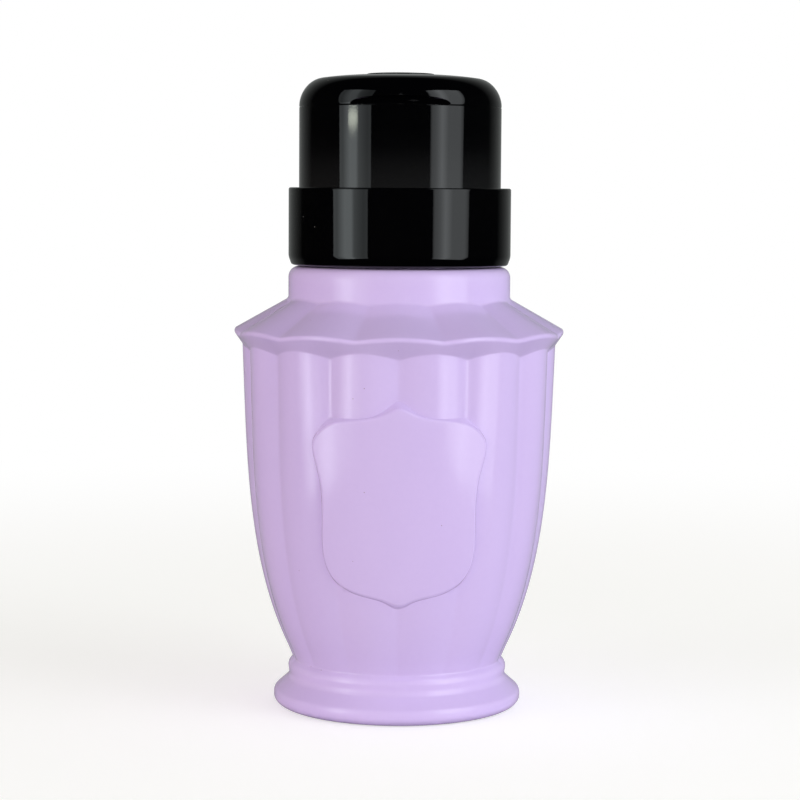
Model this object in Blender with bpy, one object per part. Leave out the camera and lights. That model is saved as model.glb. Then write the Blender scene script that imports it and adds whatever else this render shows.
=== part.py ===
"""Nail polish remover pump: a fluted bottle with a screwed-on press-dish pump under a flip lid.

Metres, +Z up. The origin is the centre of the face that the bottle stands on, and the front,
with the shield panel and the lid's thumb scoop, faces -Y. The lid's hinge is at the back, +Y.
"""

import math

import bmesh
import bpy
from mathutils import Matrix, Vector

MM = 0.001

# Fits
CLEARANCE = 0.3 * MM
SLIDING_GAP = 0.4 * MM
OVERRUN = 1.0 * MM
UNION_BITE = 0.4 * MM

# Bottle, outside
FOOT_RADIUS = 28.0 * MM
FOOT_WIDEST_HEIGHT = 2.4 * MM
FOOT_HEIGHT = 7.1 * MM
FOOT_UNDER_ROUND = 3.0 * MM
STANDING_RING_WIDTH = 6.0 * MM
PUSH_UP_DEPTH = 1.6 * MM
BEAD_RADIUS = 24.6 * MM
BEAD_HEIGHT = 4.2 * MM
WAIST_RADIUS = 23.7 * MM
BODY_HEIGHT = 69.7 * MM
RIDGE_RADIUS = 37.0 * MM
RIDGE_OVERHANG = 1.8 * MM
RIDGE_ROUND = 1.2 * MM
LEDGE_HEIGHT = 3.6 * MM
SHOULDER_HEIGHT = 8.3 * MM
BAND_HEIGHT = 6.7 * MM
BAND_ROUND = 1.8 * MM
BODY_CURVE_SHARES = ((0.748, 0.218), (0.965, 0.555))
FOOT_CURVE_SHARES = ((1.0, 0.38), (0.47, 0.75))
BEAD_CROWN_SHARE = (0.15, 0.6)
SHOULDER_ROW_SHARES = (0.5, 1.0)
QUARTER_ROUND_SHARE = 0.5523
LEDGE_NORMAL_DEG = -33.0
SHOULDER_NORMAL_DEG = 60.0

# Bottle, flutes and shield panel
LOBES = 14
LOBE_DEPTH_TOP = 0.95 * MM
LOBE_DEPTH_WAIST = 0.5 * MM
PETALS = 12
PETAL_DEPTH_RIDGE = 0.8 * MM
PETAL_DEPTH_SHOULDER = 1.2 * MM
PETAL_DEPTH_BAND = 0.2 * MM
SHIELD_HALF_WIDTH = 18.6 * MM
SHIELD_ABOVE_WAIST = 16.4 * MM
SHIELD_BELOW_LEDGE = 9.6 * MM
SHIELD_RAISE = 0.6 * MM
SHIELD_ROOT = 1.3 * MM
SHIELD_HALF_SHARES = (
    (0.0, 1.0),
    (0.10, 0.985),
    (0.27, 0.935),
    (0.60, 0.905),
    (0.84, 0.865),
    (0.98, 0.79),
    (0.97, 0.66),
    (0.90, 0.50),
    (0.87, 0.30),
    (0.80, 0.15),
    (0.62, 0.07),
    (0.30, 0.035),
    (0.12, 0.01),
    (0.0, 0.0),
)

# Bottle, inside and neck
BOTTLE_WALL = 1.8 * MM
FLOOR_THICKNESS = 2.2 * MM
FLOOR_ROUND = 2.5 * MM
NECK_BORE_RADIUS = 13.2 * MM
NECK_WALL = 2.2 * MM
NECK_LIP_ROUND = 0.4 * MM

# Screw thread shared by the neck and the collar
THREAD_DEPTH = 1.1 * MM
THREAD_PITCH = 4.2 * MM
THREAD_ROOT_WIDTH = 2.0 * MM
THREAD_CREST_WIDTH = 0.9 * MM
THREAD_STEPS_PER_TURN = 24
THREAD_END_SHARE = 0.12
NECK_THREAD_TURNS = 1.5
COLLAR_THREAD_TURNS = 1.25
THREAD_TOP_MARGIN = 1.5 * MM
THREAD_FOOT_MARGIN = 1.3 * MM

# Screw collar
COLLAR_WALL = 1.6 * MM
COLLAR_BOTTOM_ROUND = 1.4 * MM
COLLAR_TOP_ROUND = 0.5 * MM
COLLAR_SKIRT_WALL = 1.5 * MM
COLLAR_SKIRT_SHORT = 0.8 * MM
COLLAR_WEB = 1.5 * MM
COLLAR_RIM_WALL = 2.0 * MM
COLLAR_RIM_RISE = 0.6 * MM
COLLAR_RIM_GAP = 0.45 * MM

# Gasket and pump cylinder
GASKET_THICKNESS = 1.0 * MM
GASKET_BORE_GAP = 1.4 * MM
FLANGE_THICKNESS = 1.4 * MM
BOSS_WALL = 2.5 * MM
UPPER_CUP_GAP = 2.4 * MM
UPPER_CUP_WALL = 1.6 * MM
UPPER_CUP_DEPTH = 7.0 * MM
CHAMBER_RADIUS = 6.0 * MM
CHAMBER_WALL = 1.4 * MM
VALVE_POCKET_RADIUS = 2.8 * MM
VALVE_POCKET_DEPTH = 2.4 * MM
VALVE_HOLE_RADIUS = 1.3 * MM
VALVE_HOLE_LENGTH = 1.6 * MM
TUBE_SOCKET_WALL = 1.4 * MM
TUBE_SOCKET_DEPTH = 6.5 * MM

# Dip tube
TUBE_RADIUS = 2.7 * MM
TUBE_WALL = 0.7 * MM
TUBE_FLOOR_GAP = 2.5 * MM

# Valve balls, cage and spring
BALL_GAP = 0.4 * MM
CAGE_HEIGHT = 3.0 * MM
CAGE_RING_WALL = 1.3 * MM
CAGE_BAR_WIDTH = 1.6 * MM
CAGE_BAR_HEIGHT = 1.1 * MM
SPRING_WIRE_RADIUS = 0.4 * MM
SPRING_COILS = 7
SPRING_RESERVE = 0.4 * MM
SPRING_POINTS_PER_COIL = 9

# Plunger
STROKE = 6.0 * MM
STEM_RADIUS = 3.0 * MM
STEM_POCKET_WALL = 0.8 * MM
STEM_POCKET_DEPTH = 4.6 * MM
STEM_SEAT_WIDTH = 0.4 * MM
STEM_FOOT_GAP = 1.3 * MM
STEM_FOOT_HEIGHT = 2.0 * MM
PISTON_HEIGHT = 6.2 * MM
PISTON_HUB_WALL = 1.1 * MM
PISTON_LIP_HEIGHT = 1.8 * MM
PISTON_LIP_WALL = 0.7 * MM
GUIDE_WALL = 1.2 * MM
GUIDE_FLOOR = 1.5 * MM
GUIDE_FLANGE_OVERLAP = 2.0 * MM
GUIDE_FLANGE_THICKNESS = 1.2 * MM
WIPER_WALL = 2.0 * MM
WIPER_HEIGHT = 1.6 * MM

# Housing
HOUSING_RADIUS = 22.55 * MM
HOUSING_HEIGHT = 18.1 * MM
HOUSING_WALL = 1.25 * MM
HOUSING_LIP_THICKNESS = 0.75 * MM
HOUSING_EDGE_ROUND = 0.3 * MM
WELL_WALL = 1.0 * MM
WELL_FLOOR = 1.5 * MM

# Press dish and nozzle
DISH_RIM_BELOW_MOUTH = 3.5 * MM
DISH_RIM_WALL = 1.0 * MM
DISH_RIM_HEIGHT = 1.8 * MM
DISH_FALL = 1.2 * MM
DISH_THICKNESS = 1.3 * MM
DISH_FLOOR_GAP = 0.7 * MM
DISH_SKIRT_WALL = 1.1 * MM
HUB_WALL = 1.9 * MM
HUB_LENGTH = 5.2 * MM
HUB_ROOF = 0.7 * MM
NOZZLE_RADIUS = 3.1 * MM
NOZZLE_HEIGHT = 2.6 * MM
NOZZLE_SEAT_WALL = 1.0 * MM
NOZZLE_HOLE_RADIUS = 0.8 * MM
NOZZLE_SLOT_WIDTH = 0.7 * MM
NOZZLE_SLOT_DEPTH = 0.7 * MM
OUTLET_STOP_WIDTH = 0.3 * MM

# Flip lid
LID_INSET = 0.05 * MM
LID_WALL = 2.0 * MM
LID_HEIGHT = 7.1 * MM
LID_SKIRT_HEIGHT = 1.4 * MM
LID_CORNER_WIDTH = 4.5 * MM
LID_CROWN_RISE = 0.9 * MM
LID_ROOF = 2.9 * MM
LID_PLUG_WALL = 1.2 * MM
LID_PLUG_DEPTH = 1.6 * MM
LID_CORNER_SHARES = ((0.0, 0.53), (0.36, 0.90))
LID_RING_RADIUS = 7.5 * MM
LID_RING_WIDTH = 1.2 * MM
LID_RING_RAISE = 0.35 * MM
LINER_THICKNESS = 1.2 * MM
SCOOP_HALF_WIDTH = 12.0 * MM
SCOOP_HEIGHT = 2.9 * MM
SCOOP_DEPTH = 1.3 * MM
SCOOP_STAND_OFF = 0.5 * MM

# Lid hinge
HINGE_OUTSET = 0.85 * MM
KNUCKLE_RADIUS = 1.7 * MM
PIN_RADIUS = 0.7 * MM
LID_KNUCKLE_HALF = 2.9 * MM
KNUCKLE_END_GAP = 0.5 * MM
HOUSING_KNUCKLE_LENGTH = 3.0 * MM
HOUSING_KNUCKLE_ARC_DEG = (-45, 180)
LID_KNUCKLE_ARC_DEG = (90, -180)
KNUCKLE_NOTCH_GAP = 0.5 * MM
GUSSET_DROP = 4.0 * MM

# Facets
BOTTLE_SEGMENTS = 84
WIDE_SEGMENTS = 48
MIDDLE_SEGMENTS = 28
NARROW_SEGMENTS = 20
FILLET_STEPS = 2
CURVE_STEPS = 7
FOOT_STEPS = 3
RIDGE_STEPS = 2
CORNER_STEPS = 5
BALL_SEGMENTS = 12
KNUCKLE_STEPS = 12
SHARP_EDGE_DEG = 35

# Radii worked out from the sizes above
STANDING_RADIUS = FOOT_RADIUS - FOOT_UNDER_ROUND
PUSH_UP_RADIUS = STANDING_RADIUS - STANDING_RING_WIDTH
BODY_TOP_RADIUS = RIDGE_RADIUS - RIDGE_OVERHANG
RIM_BORE_RADIUS = HOUSING_RADIUS + COLLAR_RIM_GAP
COLLAR_RADIUS = RIM_BORE_RADIUS + COLLAR_RIM_WALL
NECK_RADIUS = NECK_BORE_RADIUS + NECK_WALL
THREAD_CREST_RADIUS = NECK_RADIUS + THREAD_DEPTH
SKIRT_BORE_RADIUS = THREAD_CREST_RADIUS + CLEARANCE
UPPER_CUP_RADIUS = NECK_BORE_RADIUS - UPPER_CUP_GAP
GASKET_BORE_RADIUS = UPPER_CUP_RADIUS + GASKET_BORE_GAP
BOSS_BORE_RADIUS = UPPER_CUP_RADIUS - UPPER_CUP_WALL
BOSS_RADIUS = BOSS_BORE_RADIUS + BOSS_WALL
OPENING_RADIUS = BOSS_RADIUS + CLEARANCE
GUIDE_RADIUS = BOSS_BORE_RADIUS - CLEARANCE
GUIDE_BORE_RADIUS = STEM_RADIUS + CLEARANCE
GUIDE_FLANGE_RADIUS = OPENING_RADIUS + GUIDE_FLANGE_OVERLAP
WELL_RADIUS = HOUSING_RADIUS - HOUSING_WALL - CLEARANCE
WELL_BORE_RADIUS = WELL_RADIUS - WELL_WALL
DISH_RADIUS = WELL_BORE_RADIUS - SLIDING_GAP
LID_RADIUS = HOUSING_RADIUS - LID_INSET
PLUG_RADIUS = WELL_BORE_RADIUS - SLIDING_GAP
PISTON_RADIUS = CHAMBER_RADIUS - CLEARANCE
STEM_FOOT_RADIUS = CHAMBER_RADIUS - STEM_FOOT_GAP
STEM_POCKET_RADIUS = STEM_RADIUS - STEM_POCKET_WALL
OUTLET_BALL_RADIUS = STEM_POCKET_RADIUS - BALL_GAP
STEM_BORE_RADIUS = OUTLET_BALL_RADIUS - STEM_SEAT_WIDTH
OUTLET_PASSAGE_RADIUS = OUTLET_BALL_RADIUS - OUTLET_STOP_WIDTH
INLET_BALL_RADIUS = VALVE_POCKET_RADIUS - BALL_GAP
SPRING_RADIUS = STEM_FOOT_RADIUS - CLEARANCE
SOCKET_RADIUS = TUBE_RADIUS + CLEARANCE

# Heights worked out from the sizes above, from the standing face upwards
WAIST_Z = FOOT_HEIGHT + BEAD_HEIGHT
BODY_TOP_Z = WAIST_Z + BODY_HEIGHT
SHIELD_Z = WAIST_Z + SHIELD_ABOVE_WAIST
SHIELD_TOP_Z = BODY_TOP_Z - SHIELD_BELOW_LEDGE
RIDGE_Z = BODY_TOP_Z + LEDGE_HEIGHT
SHOULDER_TOP_Z = RIDGE_Z + SHOULDER_HEIGHT
BAND_TOP_Z = SHOULDER_TOP_Z + BAND_HEIGHT
COLLAR_THREAD_Z = BAND_TOP_Z + THREAD_FOOT_MARGIN + THREAD_ROOT_WIDTH / 2
NECK_THREAD_Z = COLLAR_THREAD_Z + THREAD_PITCH / 2
NECK_TOP_Z = NECK_THREAD_Z + NECK_THREAD_TURNS * THREAD_PITCH + THREAD_TOP_MARGIN
GASKET_Z = NECK_TOP_Z + CLEARANCE
FLANGE_Z = GASKET_Z + GASKET_THICKNESS + CLEARANCE
FLANGE_TOP_Z = FLANGE_Z + FLANGE_THICKNESS
WEB_Z = FLANGE_TOP_Z + CLEARANCE
WEB_TOP_Z = WEB_Z + COLLAR_WEB
COLLAR_Z = BAND_TOP_Z + CLEARANCE
COLLAR_TOP_Z = WEB_TOP_Z + COLLAR_RIM_RISE
WELL_Z = WEB_TOP_Z + CLEARANCE
WELL_FLOOR_TOP_Z = WELL_Z + WELL_FLOOR
GUIDE_FLANGE_Z = WELL_FLOOR_TOP_Z + CLEARANCE
HOUSING_TOP_Z = WELL_Z + HOUSING_HEIGHT
LID_Z = HOUSING_TOP_Z + CLEARANCE
LID_TOP_Z = LID_Z + LID_HEIGHT
CHAMBER_TOP_Z = FLANGE_Z - UPPER_CUP_DEPTH
UPPER_FLOOR_TOP_Z = CHAMBER_TOP_Z + CHAMBER_WALL
GUIDE_Z = UPPER_FLOOR_TOP_Z + CLEARANCE
PISTON_TOP_Z = UPPER_FLOOR_TOP_Z - CLEARANCE
PISTON_Z = PISTON_TOP_Z - PISTON_HEIGHT
STEM_FOOT_TOP_Z = PISTON_Z - CLEARANCE
STEM_Z = STEM_FOOT_TOP_Z - STEM_FOOT_HEIGHT
SPRING_TOP_Z = STEM_Z - CLEARANCE
SPRING_Z = SPRING_TOP_Z - STROKE - SPRING_RESERVE - 2 * SPRING_WIRE_RADIUS * (SPRING_COILS + 1)
CAGE_TOP_Z = SPRING_Z - CLEARANCE
CAGE_Z = CAGE_TOP_Z - CAGE_HEIGHT
CHAMBER_FLOOR_Z = CAGE_Z - CLEARANCE
VALVE_CONE_TOP_Z = CHAMBER_FLOOR_Z - VALVE_POCKET_DEPTH
VALVE_CONE_Z = VALVE_CONE_TOP_Z - (VALVE_POCKET_RADIUS - VALVE_HOLE_RADIUS)
SOCKET_ROOF_Z = VALVE_CONE_Z - VALVE_HOLE_LENGTH
DISH_RIM_Z = HOUSING_TOP_Z - DISH_RIM_BELOW_MOUTH
DISH_SKIRT_Z = WELL_FLOOR_TOP_Z + DISH_FLOOR_GAP + STROKE
DISH_EDGE_Z = DISH_RIM_Z - DISH_RIM_HEIGHT
DISH_CENTRE_Z = DISH_EDGE_Z - DISH_FALL
HUB_ROOF_Z = DISH_CENTRE_Z - DISH_THICKNESS
NOZZLE_SEAT_Z = HUB_ROOF_Z + HUB_ROOF
STEM_TOP_Z = HUB_ROOF_Z - CLEARANCE
STEM_POCKET_Z = STEM_TOP_Z - STEM_POCKET_DEPTH
LID_ROOF_Z = LID_TOP_Z - LID_ROOF
HINGE_Z = (HOUSING_TOP_Z + LID_Z) / 2
HINGE_Y = HOUSING_RADIUS + HINGE_OUTSET

# Finishes: base colour, roughness and metallic value
LAVENDER_PLASTIC = ((0.60, 0.44, 0.80), 0.32, 0.0)
BLACK_PLASTIC = ((0.008, 0.008, 0.009), 0.12, 0.0)
NATURAL_PLASTIC = ((0.82, 0.83, 0.80), 0.35, 0.0)
TUBE_PLASTIC = ((0.85, 0.87, 0.86), 0.25, 0.0)
GREY_RUBBER = ((0.62, 0.63, 0.62), 0.55, 0.0)
WHITE_FOAM = ((0.78, 0.78, 0.76), 0.8, 0.0)
BRIGHT_STEEL = ((0.62, 0.62, 0.63), 0.25, 1.0)


def clear_scene():
    for obj in list(bpy.data.objects):
        bpy.data.objects.remove(obj, do_unlink=True)


def material(name, colour, roughness, metallic):
    made = bpy.data.materials.new(name)
    made.use_nodes = True
    shader = made.node_tree.nodes["Principled BSDF"]
    shader.inputs["Base Color"].default_value = (*colour, 1.0)
    shader.inputs["Roughness"].default_value = roughness
    shader.inputs["Metallic"].default_value = metallic
    return made


def bezier(start, first, second, end, steps):
    """Points along a cubic curve in the (radius, height) plane, both ends included."""
    points = []
    for i in range(steps + 1):
        t = i / steps
        weights = ((1 - t) ** 3, 3 * t * (1 - t) ** 2, 3 * t * t * (1 - t), t**3)
        handles = (start, first, second, end)
        points.append(tuple(sum(w * p[k] for w, p in zip(weights, handles)) for k in (0, 1)))
    return points


def shared(start, end, share):
    """The point that lies at these shares of the way from start to end, in radius and in height."""
    return tuple(a + (b - a) * s for a, b, s in zip(start, end, share))


def rounded(corners, steps=FILLET_STEPS):
    """A closed outline from corners (radius, height[, fillet radius]), its fillets drawn as arcs."""
    outline = []
    count = len(corners)
    for i, corner in enumerate(corners):
        here = Vector(corner[:2])
        radius = corner[2] if len(corner) > 2 else 0.0
        if not radius:
            outline.append(tuple(here))
            continue
        back = Vector(corners[i - 1][:2]) - here
        ahead = Vector(corners[(i + 1) % count][:2]) - here
        half = back.angle(ahead) / 2
        reach = min(radius / math.tan(half), back.length / 2, ahead.length / 2)
        radius = reach * math.tan(half)
        centre = here + (back.normalized() + ahead.normalized()).normalized() * (radius / math.sin(half))
        start = here + back.normalized() * reach - centre
        end = here + ahead.normalized() * reach - centre
        turn = start.angle_signed(end)
        for k in range(steps + 1):
            spoke = start.copy()
            spoke.rotate(Matrix.Rotation(-turn * k / steps, 2))
            outline.append(tuple(centre + spoke))
    return outline


def link(name, data, finish=None):
    """Puts a mesh or curve into the scene, with its own material if it has a finish."""
    obj = bpy.data.objects.new(name, data)
    bpy.context.scene.collection.objects.link(obj)
    if finish:
        data.materials.append(material(f"{name}_finish", *finish))
    return obj


def place_mesh(name, bm, finish=None):
    """Turns a bmesh into a linked object with outward faces, round stretches shaded smooth."""
    bmesh.ops.remove_doubles(bm, verts=bm.verts, dist=CLEARANCE / 1000)
    bmesh.ops.recalc_face_normals(bm, faces=bm.faces)
    data = bpy.data.meshes.new(name)
    bm.to_mesh(data)
    bm.free()
    data.shade_smooth()
    data.set_sharp_from_angle(angle=math.radians(SHARP_EDGE_DEG))
    return link(name, data, finish)


def turned_bmesh(outline, segments, closed=True, shift=None):
    """Spins an outline of (radius, height) points round Z. shift(k, angle) moves point k in its plane."""
    bm = bmesh.new()
    rings = []
    for i in range(segments):
        angle = 2 * math.pi * i / segments
        ring = []
        for k, (radius, height) in enumerate(outline):
            if shift and radius > 0:
                move = shift(k, angle)
                radius, height = radius + move[0], height + move[1]
            ring.append(bm.verts.new((radius * math.sin(angle), -radius * math.cos(angle), height)))
        rings.append(ring)
    count = len(outline)
    for i in range(segments):
        here, beyond = rings[i], rings[(i + 1) % segments]
        for k in range(count if closed else count - 1):
            bm.faces.new((here[k], beyond[k], beyond[(k + 1) % count], here[(k + 1) % count]))
    return bm


def turned(name, corners, segments, finish):
    """A solid of revolution about Z from a closed outline."""
    return place_mesh(name, turned_bmesh(rounded(corners), segments), finish)


def prism(name, outline, axis, low, high):
    """A closed prism: an outline drawn in the plane across axis 'X' or 'Y', from low to high along it."""
    bm = bmesh.new()

    def place(across, height, along):
        return (along, across, height) if axis == "X" else (across, along, height)

    face = bm.faces.new([bm.verts.new(place(a, b, low)) for a, b in outline])
    made = bmesh.ops.extrude_face_region(bm, geom=[face])
    moved = [v for v in made["geom"] if isinstance(v, bmesh.types.BMVert)]
    step = Vector((high - low, 0, 0)) if axis == "X" else Vector((0, high - low, 0))
    bmesh.ops.translate(bm, verts=moved, vec=step)
    return place_mesh(name, bm)


def hinge_rod(name, radius, low, high, finish=None):
    """A round bar along X on the lid's hinge axis."""
    centre = Matrix.Translation(((low + high) / 2, HINGE_Y, HINGE_Z))
    bm = bmesh.new()
    bmesh.ops.create_cone(
        bm,
        cap_ends=True,
        segments=NARROW_SEGMENTS,
        radius1=radius,
        radius2=radius,
        depth=high - low,
        matrix=centre @ Matrix.Rotation(math.pi / 2, 4, "Y"),
    )
    return place_mesh(name, bm, finish)


def ball(name, radius, centre_z, finish):
    """A valve ball whose origin is its centre."""
    bm = bmesh.new()
    bmesh.ops.create_uvsphere(bm, u_segments=BALL_SEGMENTS, v_segments=BALL_SEGMENTS // 2, radius=radius)
    obj = place_mesh(name, bm, finish)
    obj.location.z = centre_z
    return obj


def combine(target, tool, operation):
    """Adds a Boolean to target, and marks the tool as a helper that isn't a part."""
    tool.hide_render = True
    tool.display_type = "WIRE"
    modifier = target.modifiers.new(f"{operation.lower()} {tool.name}", "BOOLEAN")
    modifier.operation = operation
    modifier.solver = "EXACT"
    modifier.object = tool


def thread_ridge(name, root_radius, crest_radius, start_z, turns):
    """A right-hand helical ridge with tapered ends, from its root just inside the wall to its crest."""
    bm = bmesh.new()
    steps = round(turns * THREAD_STEPS_PER_TURN)
    sections = []
    for i in range(steps + 1):
        share = i / steps
        angle = share * turns * 2 * math.pi
        middle = start_z + share * turns * THREAD_PITCH
        rise = max(THREAD_END_SHARE, min(1.0, share / THREAD_END_SHARE, (1 - share) / THREAD_END_SHARE))
        crest = root_radius + (crest_radius - root_radius) * rise
        corners = (
            (root_radius, -THREAD_ROOT_WIDTH / 2),
            (crest, -THREAD_CREST_WIDTH / 2),
            (crest, THREAD_CREST_WIDTH / 2),
            (root_radius, THREAD_ROOT_WIDTH / 2),
        )
        sections.append(
            [bm.verts.new((r * math.sin(angle), -r * math.cos(angle), middle + dz)) for r, dz in corners]
        )
    for here, beyond in zip(sections, sections[1:]):
        for k in range(4):
            bm.faces.new((here[k], here[(k + 1) % 4], beyond[(k + 1) % 4], beyond[k]))
    bm.faces.new(sections[0])
    bm.faces.new(reversed(sections[-1]))
    return place_mesh(name, bm)


def body_curve():
    """The side of the bottle at the middle of a flute, from the waist up to the ledge."""
    start, end = (WAIST_RADIUS, WAIST_Z), (BODY_TOP_RADIUS, BODY_TOP_Z)
    handles = (shared(start, end, share) for share in BODY_CURVE_SHARES)
    return bezier(start, *handles, end, CURVE_STEPS)


def offset_curve(curve, distance):
    """The body curve moved out by distance, in radius only."""
    return [(radius + distance, height) for radius, height in curve]


def bottle_outline():
    """The outside from the push-up to the neck's mouth, as (radius, height, lobe depth, petal depth)."""
    standing = (STANDING_RADIUS, 0.0)
    widest = (FOOT_RADIUS, FOOT_WIDEST_HEIGHT)
    bead_foot = (BEAD_RADIUS, FOOT_HEIGHT)
    waist = (WAIST_RADIUS, WAIST_Z)
    rows = [(0.0, PUSH_UP_DEPTH, 0, 0), (PUSH_UP_RADIUS - PUSH_UP_DEPTH, PUSH_UP_DEPTH, 0, 0)]
    rows.append((PUSH_UP_RADIUS, 0.0, 0, 0))
    keep = QUARTER_ROUND_SHARE
    under_handles = [shared(standing, widest, share) for share in ((keep, 0), (1, 1 - keep))]
    rows += [(r, z, 0, 0) for r, z in bezier(standing, *under_handles, widest, FOOT_STEPS)]
    flare_handles = [shared(bead_foot, widest, (share[0], 1 - share[1])) for share in FOOT_CURVE_SHARES]
    rows += [(r, z, 0, 0) for r, z in bezier(widest, *flare_handles, bead_foot, FOOT_STEPS)[1:]]
    rows.append((*shared(bead_foot, waist, BEAD_CROWN_SHARE), 0, 0))
    for radius, height in body_curve():
        share = (height - WAIST_Z) / BODY_HEIGHT
        rows.append((radius, height, LOBE_DEPTH_WAIST + (LOBE_DEPTH_TOP - LOBE_DEPTH_WAIST) * share, 0))
    centre = (RIDGE_RADIUS - RIDGE_ROUND, RIDGE_Z)
    for k in range(RIDGE_STEPS + 1):
        share = k / RIDGE_STEPS
        angle = math.radians(LEDGE_NORMAL_DEG + (SHOULDER_NORMAL_DEG - LEDGE_NORMAL_DEG) * share)
        depth = PETAL_DEPTH_RIDGE + (PETAL_DEPTH_SHOULDER - PETAL_DEPTH_RIDGE) * share
        point = (centre[0] + RIDGE_ROUND * math.cos(angle), centre[1] + RIDGE_ROUND * math.sin(angle))
        rows.append((*point, 0, depth))
    ridge, band_foot = rows[-1][:2], (COLLAR_RADIUS, SHOULDER_TOP_Z)
    for share in SHOULDER_ROW_SHARES:
        depth = PETAL_DEPTH_SHOULDER + (PETAL_DEPTH_BAND - PETAL_DEPTH_SHOULDER) * share
        rows.append((*shared(ridge, band_foot, (share, share)), 0, depth))
    for k in range(FILLET_STEPS + 1):
        angle = math.pi / 2 * k / FILLET_STEPS
        radius = COLLAR_RADIUS - BAND_ROUND + BAND_ROUND * math.cos(angle)
        rows.append((radius, BAND_TOP_Z - BAND_ROUND + BAND_ROUND * math.sin(angle), 0, 0))
    neck = ((NECK_RADIUS, BAND_TOP_Z), (NECK_RADIUS, NECK_TOP_Z - NECK_LIP_ROUND))
    mouth = ((NECK_RADIUS - NECK_LIP_ROUND, NECK_TOP_Z), (0.0, NECK_TOP_Z))
    rows += [(*point, 0, 0) for point in neck + mouth]
    return rows


def bottle_inside():
    """The cavity, from just above the neck's mouth down to the floor's centre."""
    cavity_wall = BOTTLE_WALL + LOBE_DEPTH_TOP
    band_bore = COLLAR_RADIUS - BOTTLE_WALL
    inner_body = [(r - cavity_wall, z) for r, z in body_curve()][::-2]
    shoulder_drop = BOTTLE_WALL + PETAL_DEPTH_SHOULDER
    floor_edge_z = FLOOR_THICKNESS + FLOOR_ROUND
    rows = [
        (0.0, NECK_TOP_Z + OVERRUN),
        (NECK_BORE_RADIUS, NECK_TOP_Z + OVERRUN),
        (NECK_BORE_RADIUS, BAND_TOP_Z - BOTTLE_WALL),
        (band_bore, BAND_TOP_Z - BOTTLE_WALL - BAND_ROUND),
        (band_bore, SHOULDER_TOP_Z - shoulder_drop),
        (RIDGE_RADIUS - cavity_wall, RIDGE_Z - RIDGE_ROUND),
    ]
    rows += inner_body
    rows.append((WAIST_RADIUS - cavity_wall, floor_edge_z))
    rows.append((WAIST_RADIUS - cavity_wall - FLOOR_ROUND, PUSH_UP_DEPTH + FLOOR_THICKNESS))
    rows.append((0.0, PUSH_UP_DEPTH + FLOOR_THICKNESS))
    return rows


def groove(angle, count, phase):
    """0 at the middle of a rounded flute and 1 in the grooves beside it, for count flutes in a full turn."""
    place = (angle * count / (2 * math.pi) + phase) % 1.0
    return (2 * place - 1) ** 2


def build_shield():
    """The raised shield panel: a slice of a shell round the body, cut to the shield's outline."""
    curve = body_curve()
    outer = offset_curve(curve, SHIELD_RAISE)
    inner = offset_curve(curve, -SHIELD_ROOT)
    shell = place_mesh("shield_shell", turned_bmesh(outer + inner[::-1], BOTTLE_SEGMENTS))
    height = SHIELD_TOP_Z - SHIELD_Z
    half = [(x * SHIELD_HALF_WIDTH, SHIELD_Z + z * height) for x, z in SHIELD_HALF_SHARES]
    mirrored = [(-x, z) for x, z in half[-2:0:-1]]
    cutter = prism("shield_outline", half + mirrored, "Y", -RIDGE_RADIUS - OVERRUN, 0.0)
    combine(shell, cutter, "INTERSECT")
    return shell


def build_bottle(finish):
    """The fluted bottle: lobes on the body, petals on the shoulder, the shield and the threaded neck."""
    rows = bottle_outline()
    outline = [row[:2] for row in rows]
    depths = [row[2:] for row in rows]
    normals = []
    for k, point in enumerate(outline):
        before, after = outline[max(k - 1, 0)], outline[min(k + 1, len(outline) - 1)]
        along = Vector(after) - Vector(before)
        normals.append(Vector((along.y, -along.x)).normalized())

    def fluted(k, angle):
        lobe, petal = depths[k]
        depth = lobe * groove(angle, LOBES, 0.0) + petal * groove(angle, PETALS, 0.5)
        return -normals[k] * depth

    bm = turned_bmesh(outline, BOTTLE_SEGMENTS, closed=False, shift=fluted)
    bmesh.ops.triangulate(bm, faces=bm.faces)
    bottle = place_mesh("bottle_body", bm, finish)
    combine(bottle, build_shield(), "UNION")
    cavity = place_mesh("bottle_cavity", turned_bmesh(bottle_inside(), MIDDLE_SEGMENTS, closed=False))
    combine(bottle, cavity, "DIFFERENCE")
    root = NECK_RADIUS - UNION_BITE
    ridge = thread_ridge("neck_thread", root, THREAD_CREST_RADIUS, NECK_THREAD_Z, NECK_THREAD_TURNS)
    combine(bottle, ridge, "UNION")
    return bottle


def build_collar(finish):
    """The screw collar: an outer shell, a threaded skirt inside it and a web that holds the flange down."""
    skirt_outer = SKIRT_BORE_RADIUS + COLLAR_SKIRT_WALL
    shell_bore = COLLAR_RADIUS - COLLAR_WALL
    skirt_z = COLLAR_Z + COLLAR_SKIRT_SHORT
    ceiling = WEB_Z - COLLAR_SKIRT_WALL
    collar = turned(
        "screw_collar",
        [
            (COLLAR_RADIUS, COLLAR_Z, COLLAR_BOTTOM_ROUND),
            (COLLAR_RADIUS, COLLAR_TOP_Z, COLLAR_TOP_ROUND),
            (RIM_BORE_RADIUS, COLLAR_TOP_Z),
            (RIM_BORE_RADIUS, WEB_TOP_Z),
            (OPENING_RADIUS, WEB_TOP_Z),
            (OPENING_RADIUS, WEB_Z),
            (SKIRT_BORE_RADIUS, WEB_Z),
            (SKIRT_BORE_RADIUS, skirt_z),
            (skirt_outer, skirt_z),
            (skirt_outer, ceiling),
            (shell_bore, ceiling),
            (shell_bore, COLLAR_Z),
        ],
        WIDE_SEGMENTS,
        finish,
    )
    root = SKIRT_BORE_RADIUS + UNION_BITE
    ridge = thread_ridge("collar_thread", root, NECK_RADIUS + CLEARANCE, COLLAR_THREAD_Z, COLLAR_THREAD_TURNS)
    combine(collar, ridge, "UNION")
    return collar


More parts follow.
